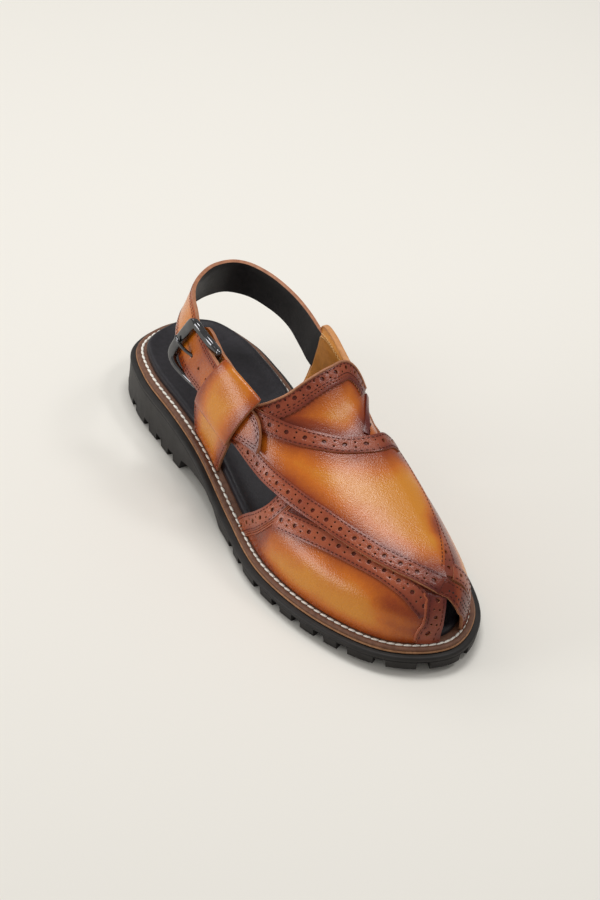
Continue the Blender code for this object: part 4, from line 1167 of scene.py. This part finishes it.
def make_front(name, rear, top, toe, short):
    """A front panel with its rear, top and toe bands and the piping beside them. Its top band
    stops `short` millimetres before its end."""
    make_strap(name, BLACK_LINING, (rear, top, toe))
    make_band(name + "_rear_band", rear, 0, rear.length, thickness=FRONT_BAND_THICKNESS)
    make_band(name + "_toe_band", toe, 0, toe.length, dye=0.45, thickness=FRONT_BAND_THICKNESS)
    make_band(name + "_top_band", top, BAND_WIDTH - 2, top.length - short, TOP_BAND_WIDTH)
    make_piping(name + "_rear_piping", rear, BAND_WIDTH + 0.5, 1, rear.length - 0.5, finish=BAND)
    make_piping(name + "_rear_piping_2", rear, BAND_WIDTH + 1.7, 1, rear.length - BAND_WIDTH,
                finish=BAND)
    make_piping(name + "_toe_piping", toe, BAND_WIDTH + 0.7, 1, toe.length - 0.5, 0.8, 0.7, BAND)
    make_seam(name + "_seams", (
        *band_seams(rear, FRONT_BAND_THICKNESS), *band_seams(toe, FRONT_BAND_THICKNESS),
        *band_seams(top, BAND_THICKNESS, TOP_BAND_SEAMS, BAND_WIDTH + 2, short + 2)))


def make_quarters():
    make_strap("medial_quarter", TAN_LINING, (QUARTER_FRONT,), cell=1.8)
    make_band("medial_quarter_band", QUARTER_FRONT, 0, QUARTER_FRONT.length)
    make_seam("medial_quarter_seams", [
        *plain_seams(QUARTER_REAR, EDGE_SEAM, SECOND_SEAM), *band_seams(QUARTER_FRONT)])
    make_strap("lateral_quarter", TAN_LINING, cell=1.8)
    make_seam("lateral_quarter_seams", [
        *plain_seams(LATERAL_REAR, EDGE_SEAM), *plain_seams(LATERAL_FRONT, EDGE_SEAM)])


def facing_depth(row, share):
    """How far the facing lies below the medial quarter's outer face: less at its folded edge."""
    deep = np.interp(row, *zip(*FACING_DEPTH))
    from_top = share * STRAP["medial_quarter"].width(row)
    return FOLD_DEPTH + (deep - FOLD_DEPTH) * ease(from_top / FOLD_BEND)


class FacingRoute:
    """A run on the facing beside its folded top edge."""

    def __init__(self):
        self.edge = edge_run("medial_quarter", False, 1.8, 5.2)
        self.length = self.edge.length

    def place(self, s, t, h):
        row, share = self.edge.spot(s, t)
        return self.edge.strap.place(row, share, -facing_depth(row, share) - h)


def make_facing():
    """Tan leather inside the medial quarter, over the heel strap's end, with a folded top edge."""
    quarter = STRAP["medial_quarter"]
    rows = np.linspace(FACING_DEPTH[0][0], FACING_DEPTH[-1][0], 64)
    row, share = np.meshgrid(rows, np.linspace(*FACING_REACH, 40), indexing="ij")
    depth = facing_depth(row, share)
    points = quarter.place(row, share, -depth)
    inside = points - quarter.place(row, share, 1 - depth)
    made, _ = sheet("medial_facing", points, inside, (TAN_FACING, TAN_LINING, CUT_EDGE))
    leather_wall(made, FACING_THICKNESS, 0.3)
    rows = np.linspace(*FOLD_ROWS, 60)
    middle = quarter.place(rows, 0, -FOLD_HALF)
    normals = unit(quarter.place(rows, 0, 1 - FOLD_HALF) - middle)
    swept("facing_fold", middle, normals, FOLD_HALF_HEIGHT, FOLD_HALF, 0.75, FOLDED_EDGE)
    make_seam("facing_seams", plain_seams(FacingRoute(), *FACING_SEAMS), finish=TAN_THREAD,
              stitch=FACING_STITCH)


def make_keeper():
    make_strap("keeper", TAN_LINING, cell=1.2)
    low_edge = Route("keeper", (0, 0), (0, 1), (1, 0))
    make_piping("keeper_edge", low_edge, 0.2, 0.3, low_edge.length - 0.3, 0.7, 0.7)


def make_chape():
    """The leather leaf behind the buckle, with a rounded rear end."""
    start, end = CHAPE_REACH
    where = start + (end - start) * np.linspace(0, 1, 31) ** 1.4      # closer at the rounded end
    low, top, _ = heel_strap_frame(where)
    half = np.linalg.norm(top - low, axis=1) / 2 + CHAPE_WIDEN
    turn = half.max() * 0.8
    rounded = np.sqrt(1 - np.clip((start + turn - where) / turn, 0, 1) ** 2)
    half = half * (CHAPE_TIP + (1 - CHAPE_TIP) * rounded)
    across = half[:, None] * np.linspace(-1, 1, 17)
    where = where[:, None] + 0 * across
    points = by_heel_strap(where, across, CHAPE_LIFT + LEATHER / 2)
    made, order = sheet("chape", points, heel_strap_frame(where)[2], (TAN, TAN_LINING, CUT_EDGE))
    edge = half[:, None] - np.abs(across)
    set_dye_and_painted_shade(made, shade(edge, *CHAPE_SHADE).reshape(-1)[order])
    leather_wall(made, LEATHER)


# -------------------------------------------------- heel strap and buckle
def make_heel_strap():
    """Tan leather outside, black inside, punched for the prong, with two seams round its edges."""
    length, width = HEEL_STRAP_LENGTH, HEEL_STRAP_WIDTH
    holes = [(where, width / 2 + HOLES_ACROSS, *STRAP_HOLE)
             for where in (PRONG_HOLE_AT, *SPARE_HOLES_AT)]
    work = punched_blank(length, width, holes)
    flat = np.array([corner.co for corner in work.verts])
    low, top, normal = heel_strap_frame(flat[:, 0])
    real = np.linalg.norm(top - low, axis=1)
    across = (flat[:, 1] / width - 0.5) * real
    points = by_heel_strap(flat[:, 0], across, STRAP_THICKNESS / 2)
    for corner, point in zip(work.verts, (points - ORIGIN) * MM):
        corner.co = point
    work.normal_update()
    face_outwards(work, normal)
    made = piece("heel_strap", work, (TAN, BLACK_LINING, CUT_EDGE), "heel_strap")
    tip = length - flat[:, 0]
    strength, reach, rise = TAB_SHADE
    dye = HEEL_STRAP_DYE + strength * ease((reach - tip) / rise)
    distances = (real / 2 - np.abs(across), tip, flat[:, 0] - SPARE_HOLES_AT[0])
    for distance, fade in zip(distances, HEEL_STRAP_SHADES):
        dye += shade(distance, *fade)
    set_dye_and_painted_shade(made, dye)
    leather_wall(made, STRAP_THICKNESS, HEEL_STRAP_EDGE_ROUND)
    sides = [HeelStrapRoute(from_top, 2.0, length - 1.5) for from_top in (True, False)]
    seams = [row for side in sides for row in plain_seams(side, *HEEL_STRAP_SEAMS)]
    make_seam("heel_strap_seams", seams, "heel_strap", "strap_leather")


def make_buckle_frame():
    """A rounded frame, from its thick end bar over the strap to its thin pivot bar under it."""
    length = PIVOT_AT - END_BAR_AT
    turns = np.radians(np.linspace(90, 0, 6))
    corner = np.column_stack([BUCKLE_CORNER * (1 - np.sin(turns)),
                              BUCKLE_HALF_WIDTH - BUCKLE_CORNER * (1 - np.cos(turns))])
    side = np.array([(share * length, BUCKLE_HALF_WIDTH) for share in BUCKLE_SIDE_SHARES])
    pivot = np.array([(length, BUCKLE_HALF_WIDTH - inset) for inset in PIVOT_INSETS])
    half = np.vstack([corner, side, pivot])
    loop = np.vstack([half, half[::-1] * (1, -1), half[:1]])
    knots = travelled(loop)
    even = np.linspace(0, knots[-1], BUCKLE_STEPS + 1)[:-1]
    fine = smooth(knots, loop, even)
    half_widths = (*UPPER_HALF_WIDTHS, *LOWER_HALF_WIDTHS[::-1], UPPER_HALF_WIDTHS[0])
    wide = np.interp(even, knots, half_widths)
    # the end bar is broader, flatter and squarer
    at_end = ease((END_BAR_REACH - fine[:, 0]) / END_BAR_REACH)
    tall = np.minimum(wide, 2.1) - 0.2 * at_end
    wide = wide + 0.8 * at_end
    squareness = 0.72 - 0.32 * at_end
    height = END_BAR_HEIGHT + (PIVOT_HEIGHT - END_BAR_HEIGHT) * ease(fine[:, 0] / length)
    path = by_heel_strap(END_BAR_AT + fine[:, 0], fine[:, 1], height)
    normal = heel_strap_frame(END_BAR_AT + fine[:, 0])[2]
    for _ in range(BUCKLE_STEADYING):
        path, normal = ((np.roll(line, 1, axis=0) + 2 * line + np.roll(line, -1, axis=0)) / 4
                        for line in (path, normal))
    swept("buckle_frame", path, unit(normal), wide, tall, squareness, GUNMETAL,
          "buckle_frame", closed=True)


def make_buckle_prong():
    """A pin from the pivot bar up through the strap's hole to the end bar, thinner at its tip."""
    steps = np.linspace(0, len(PRONG_PATH) - 1, PRONG_STEPS + 1)
    run = smooth(np.arange(len(PRONG_PATH)), PRONG_PATH, steps)
    path = by_heel_strap(run[:, 0], HOLES_ACROSS, run[:, 1])
    radii = PRONG * np.interp(np.arange(PRONG_STEPS + 1), (0, 45, PRONG_STEPS), (1, 1, 0.6))
    swept("buckle_prong", path, heel_strap_frame(run[:, 0])[2], radii, radii * 0.85, 0.8, GUNMETAL,
          "buckle_prong")


# -------------------------------------------------- sole
def stations(extra=(), count=190):
    """Places along the shoe from the heel's tip to the toe's, close together at both tips."""
    heel, toe = FINE[0, 1], FINE[TOE_TIP, 1]
    even = heel + (toe - heel) * (1 - np.cos(np.linspace(0, math.pi, count))) / 2
    return np.array(sorted(set(np.round(np.concatenate([even, extra]), 4)), reverse=True))


def side_outline(along, medial):
    """The welt's outline on one side at the given places, with its outward directions and arcs."""
    run = slice(TOE_TIP, None) if medial else slice(TOE_TIP, None, -1)
    knots = FINE[run, 1]
    here = [np.interp(along, knots, values[run]) for values in (FINE[:, 0], *FINE_OUT.T, FINE_ARC)]
    x, out_x, out_y, arc = here
    return np.stack([x, along], axis=1), unit(np.stack([out_x, out_y], axis=1)), arc


def ring_points(along, profile):
    """Points round the shoe for each (offset, height) of a profile, lateral side first."""
    rings = []
    sides = [side_outline(along, medial) for medial in (False, True)]
    for offset, height in profile:
        both = []
        for edge, out, arc in sides:
            flat = edge + out * np.broadcast_to(offset(along, arc) if callable(offset) else offset,
                                                along.shape)[:, None]
            both.append(np.column_stack([flat, height(along, arc)]))
        tip = (both[0][:1] + both[1][:1]) / 2, (both[0][-1:] + both[1][-1:]) / 2
        rings.append(np.concatenate([tip[0], both[0][1:-1], tip[1], both[1][-2:0:-1], tip[0]]))
    return np.array(rings)


def add_cap(work, ring, across, dish=0.0):
    """Fills a ring from its lateral to its medial side, sunk in the middle by `dish`."""
    half = len(ring) // 2
    lateral, medial = ring[:half + 1], ring[half:][::-1]
    share = np.linspace(0, 1, across + 1)
    points = lateral[:, None] * (1 - share)[None, :, None] + medial[:, None] * share[None, :, None]
    width = np.linalg.norm(medial - lateral, axis=1)
    points[..., 2] -= dish * ease(width / 40)[:, None] * (4 * share * (1 - share))
    bent_grid(work, points)


def round_shoe(along, profile, caps=()):
    """A closed solid of rings round the shoe; `caps` fill its first ring and its last."""
    rings = ring_points(along, profile)
    work = bmesh.new()
    bent_grid(work, rings)
    for ring, cap in zip((rings[0], rings[-1]), caps):
        add_cap(work, ring, *cap)
    closed_shell(work)
    return work


def below_welt(down):
    """A height below the welt's top."""
    return lambda y, arc: welt_top(y) - down


def rubber_top(down=0.0):
    """A height below the ledge's top."""
    return lambda y, arc: welt_top(y) - WELT_THICKNESS - GAP - down


def in_lug_gap(arc):
    """Whether a place round the outline is in a gap between edge lugs."""
    away = np.min(np.abs(np.asarray(arc)[..., None] - np.array(LUG_GAPS)), axis=-1)
    return away < LUG_GAP_WIDTH / 2 + 0.05


def sole_floor(y, arc):
    """The lugs' feet, and the arch between heel and forefoot."""
    return np.maximum(ground(y), np.interp(y, *zip(*WAIST_PROFILE[::-1])))


def lowest(y, arc):
    """The sole's underside by its edge: raised where there is a gap between lugs."""
    floor = sole_floor(y, arc)
    return np.where(in_lug_gap(arc), np.maximum(floor, ground(y) + LUG_DEPTH), floor)


def field(y, arc):
    """The sole's underside inside its edge lugs."""
    sunk = np.any([(y > start) & (y < end) for start, end in FIELDS], axis=0)
    return np.where(sunk, ground(y) + FIELD_DEPTH, sole_floor(y, arc))


def flare(y):
    """How far the lugs' feet stand out from the outline."""
    return FOREFOOT_FLARE + (HEEL_FLARE - FOREFOOT_FLARE) * ease((y - 20) / 60)


def down_side(share):
    """A place down the side, from just under the ledge to the lugs' feet."""
    def offset(y, arc):
        return RUBBER_LEDGE + 0.3 + (flare(y) - RUBBER_LEDGE - 0.3) * share

    def height(y, arc):
        start = rubber_top(3.2)(y, arc)
        end = sole_floor(y, arc) + 0.9
        return np.maximum(start + (end - start) * share, lowest(y, arc) + 0.02 * (1 - share))
    return offset, height


def at_foot(back, up):
    """A place round the edge of a lug's foot."""
    return (lambda y, arc: flare(y) - back,
            lambda y, arc: lowest(y, arc) + np.where(in_lug_gap(arc), 0, up))


def add_centre_lug(work, across, along, turned):
    """A bevelled block that leans to one side, with its foot on the ground."""
    height = LUG_DEPTH + 1
    centre = np.array((across + turned * CENTRE_LUG_OUT, along, ground(along) + height / 2))
    place = (Matrix.Translation(Vector(centre - ORIGIN) * MM)
             @ Matrix.Rotation(turned * math.radians(CENTRE_LUG_TURN), 4, "Z")
             @ Matrix.Diagonal((*(size * MM for size in (*CENTRE_LUG_SIZE, height)), 1)))
    lug = bmesh.ops.create_cube(work, size=1.0, matrix=place)["verts"]
    edges = list({edge for corner in lug for edge in corner.link_edges})
    bmesh.ops.bevel(work, geom=edges, offset=CENTRE_LUG_ROUND * MM, segments=2, profile=0.5,
                    affect="EDGES", material=-1)


def make_outsole():
    """Rubber with a rounded ledge, a flared side and lugs cut into its edge."""
    close = [limit + step for limits in FIELDS for limit in limits for step in (0, 0.4)]
    close += WAIST_STATIONS
    for gap in LUG_GAPS:
        for side in (-1, 1):
            borders = gap + side * (LUG_GAP_WIDTH / 2 + np.array((0, 0.3)))
            close += list(np.interp(borders, FINE_ARC, FINE[:, 1]))
    profile = [
        (-WELT_WIDTH - 2, rubber_top()),
        *((RUBBER_LEDGE + out, rubber_top(down)) for out, down in LEDGE_PROFILE),
        *(down_side(share) for share in SIDE_SHARES),
        *(at_foot(*place) for place in FOOT_PROFILE),
        (-LUG_LENGTH + 1.0, lowest),
        (-LUG_LENGTH + 0.4, lambda y, arc: np.maximum(field(y, arc), sole_floor(y, arc))),
        (-LUG_LENGTH - 2.0, field)]
    work = round_shoe(stations(close), profile, ((6,), (8,)))
    for across, along in CENTRE_LUGS:
        for turned in (-1, 1):
            add_centre_lug(work, across, along, turned)
    piece("outsole", work, [RUBBER], "outsole", 32)


def make_welt():
    """Brown welt with a channel for its thread, over a paler midsole edge."""
    for name, table, finish in (("welt", WELT_PROFILE, WELT_LEATHER),
                                ("midsole_edge", MIDSOLE_PROFILE, MIDSOLE_EDGE)):
        work = round_shoe(stations(count=200), [(out, below_welt(down)) for out, down in table])
        piece(name, work, [finish], "welt", 50)


class WeltRoute:
    """Round the welt: s along its outline, t in from its edge, h above its top."""

    length = FINE_ARC[-1] - FINE_ARC[0]

    def place(self, s, t, h):
        s = np.asarray(s) % self.length + FINE_ARC[0]
        edge = read_off(s, FINE_ARC, np.hstack([FINE, FINE_OUT]))
        flat = edge[..., :2] - edge[..., 2:] * np.asarray(t)[..., None]
        return np.concatenate([flat, (welt_top(flat[..., 1]) + h)[..., None]], axis=-1)


def round_seat(y, arc):
    """How far a place is on the seat, and how far on its medial side."""
    past_heel = np.where(arc > FINE_ARC[TOE_TIP], FINE_ARC[-1] - arc, FINE_ARC[0] - arc)
    return ease((y - SEAT_FROM) / SEAT_RISE), ease((past_heel + SEAT_TURN / 2) / SEAT_TURN)


def rim_place(inset, height):
    """A place on the insole's rim, which covers more of the welt round the seat and stands a little
    higher on the seat's medial side."""
    def offset(y, arc):
        seat, medial = round_seat(y, arc)
        return INSOLE_EDGE - inset + seat * (SEAT_COVER + (MEDIAL_COVER - SEAT_COVER) * medial)

    def above(y, arc):
        seat, medial = round_seat(y, arc)
        return welt_top(y) + height + MEDIAL_RAISE * seat * medial * min(1, height / INSOLE_RIM)
    return offset, above


def make_insole():
    """Black leather footbed with a padded, rolled rim."""
    profile = [rim_place(*place) for place in INSOLE_PROFILE]
    work = round_shoe(stations(count=150), profile, ((6,), (30, INSOLE_DISH)))
    piece("insole", work, [INSOLE_LEATHER], "insole", 60)


# -------------------------------------------------- floor, light and camera
FLOOR_COLOUR = (0.80, 0.775, 0.72, 1)
FLOOR_RADIUS = 8.0
ROOM_LIGHT = {"Color": (1.0, 0.985, 0.96, 1), "Strength": 0.40}
SOFTBOXES = (             # place, width, height and power
    ("softbox_above", (0.16, 0.30, 1.45), 0.70, 0.50, 10.5),
    ("softbox_right", (0.75, -0.42, 1.35), 0.30, 0.30, 3.5),
    ("softbox_behind", (-0.35, 1.5, 1.0), 1.2, 0.7, 4),
    ("softbox_left", (-1.5, 0.46, 0.34), 0.8, 0.5, 9))
CAMERA_ANGLES = (-32.0657, 37.2380, 4.578)  # degrees round the shoe, above the floor and of lean
CAMERA_AIM = (-0.000766, -0.003504, 0.040)
CAMERA_DISTANCE = 1.3914
CAMERA_LENS = 102.62
SENSOR_WIDTH = 36


def make_stage():
    floor_finish = Finish("pale_floor", 0.9, Specular_IOR_Level=0.1)
    floor_finish.shader.inputs["Base Color"].default_value = FLOOR_COLOUR
    work = bmesh.new()
    bmesh.ops.create_circle(work, cap_ends=True, segments=64, radius=FLOOR_RADIUS)
    mesh = bpy.data.meshes.new("floor")
    work.to_mesh(mesh)
    work.free()
    mesh.materials.append(floor_finish.material)
    floor = put_in_scene("floor", mesh)

    world = bpy.data.worlds.new("studio")
    world.use_nodes = True
    for socket, value in ROOM_LIGHT.items():
        world.node_tree.nodes["Background"].inputs[socket].default_value = value
    bpy.context.scene.world = world

    for name, place, width, height, power in SOFTBOXES:
        lamp = bpy.data.lights.new(name, "AREA")
        lamp.shape = "RECTANGLE"
        lamp.size = width
        lamp.size_y = height
        lamp.energy = power
        holder = put_in_scene(name, lamp)
        holder.location = place
        holder.rotation_euler = (-Vector(place)).to_track_quat("-Z", "Y").to_euler()


def make_camera():
    azimuth, elevation, roll = (math.radians(angle) for angle in CAMERA_ANGLES)
    back = Vector((math.sin(azimuth) * math.cos(elevation),
                   -math.cos(azimuth) * math.cos(elevation), math.sin(elevation)))
    right = Vector((math.cos(azimuth), math.sin(azimuth), 0))
    up = back.cross(right)
    turned_right = right * math.cos(roll) + up * math.sin(roll)
    turned_up = up * math.cos(roll) - right * math.sin(roll)
    place = Matrix((turned_right, turned_up, back)).transposed().to_4x4()
    place.translation = Vector(CAMERA_AIM) + back * CAMERA_DISTANCE
    lens = bpy.data.cameras.new("camera")
    lens.lens = CAMERA_LENS
    lens.sensor_width = SENSOR_WIDTH
    camera = put_in_scene("camera", lens)
    camera.matrix_world = place
    bpy.context.scene.camera = camera
    bpy.context.scene.view_settings.view_transform = "Standard"


make_over_strap()
make_throat()
make_front("lateral_front", FRONT_REAR, FRONT_TOP, FRONT_TOE, BAND_WIDTH)
make_front("medial_front", MEDIAL_REAR, MEDIAL_TOP, MEDIAL_TOE, 2.0)
make_quarters()
make_facing()
make_keeper()
make_chape()
make_heel_strap()
make_buckle_frame()
make_buckle_prong()
make_outsole()
make_welt()
make_seam("welt_seam", ((WeltRoute(), WELT_SEAM_INSET, 0, 0, -0.1),), "welt", "welt_leather",
          WHITE_THREAD, pitch=WELT_PITCH, stitch=WELT_STITCH, slant=math.radians(7))
make_insole()
make_stage()
make_camera()
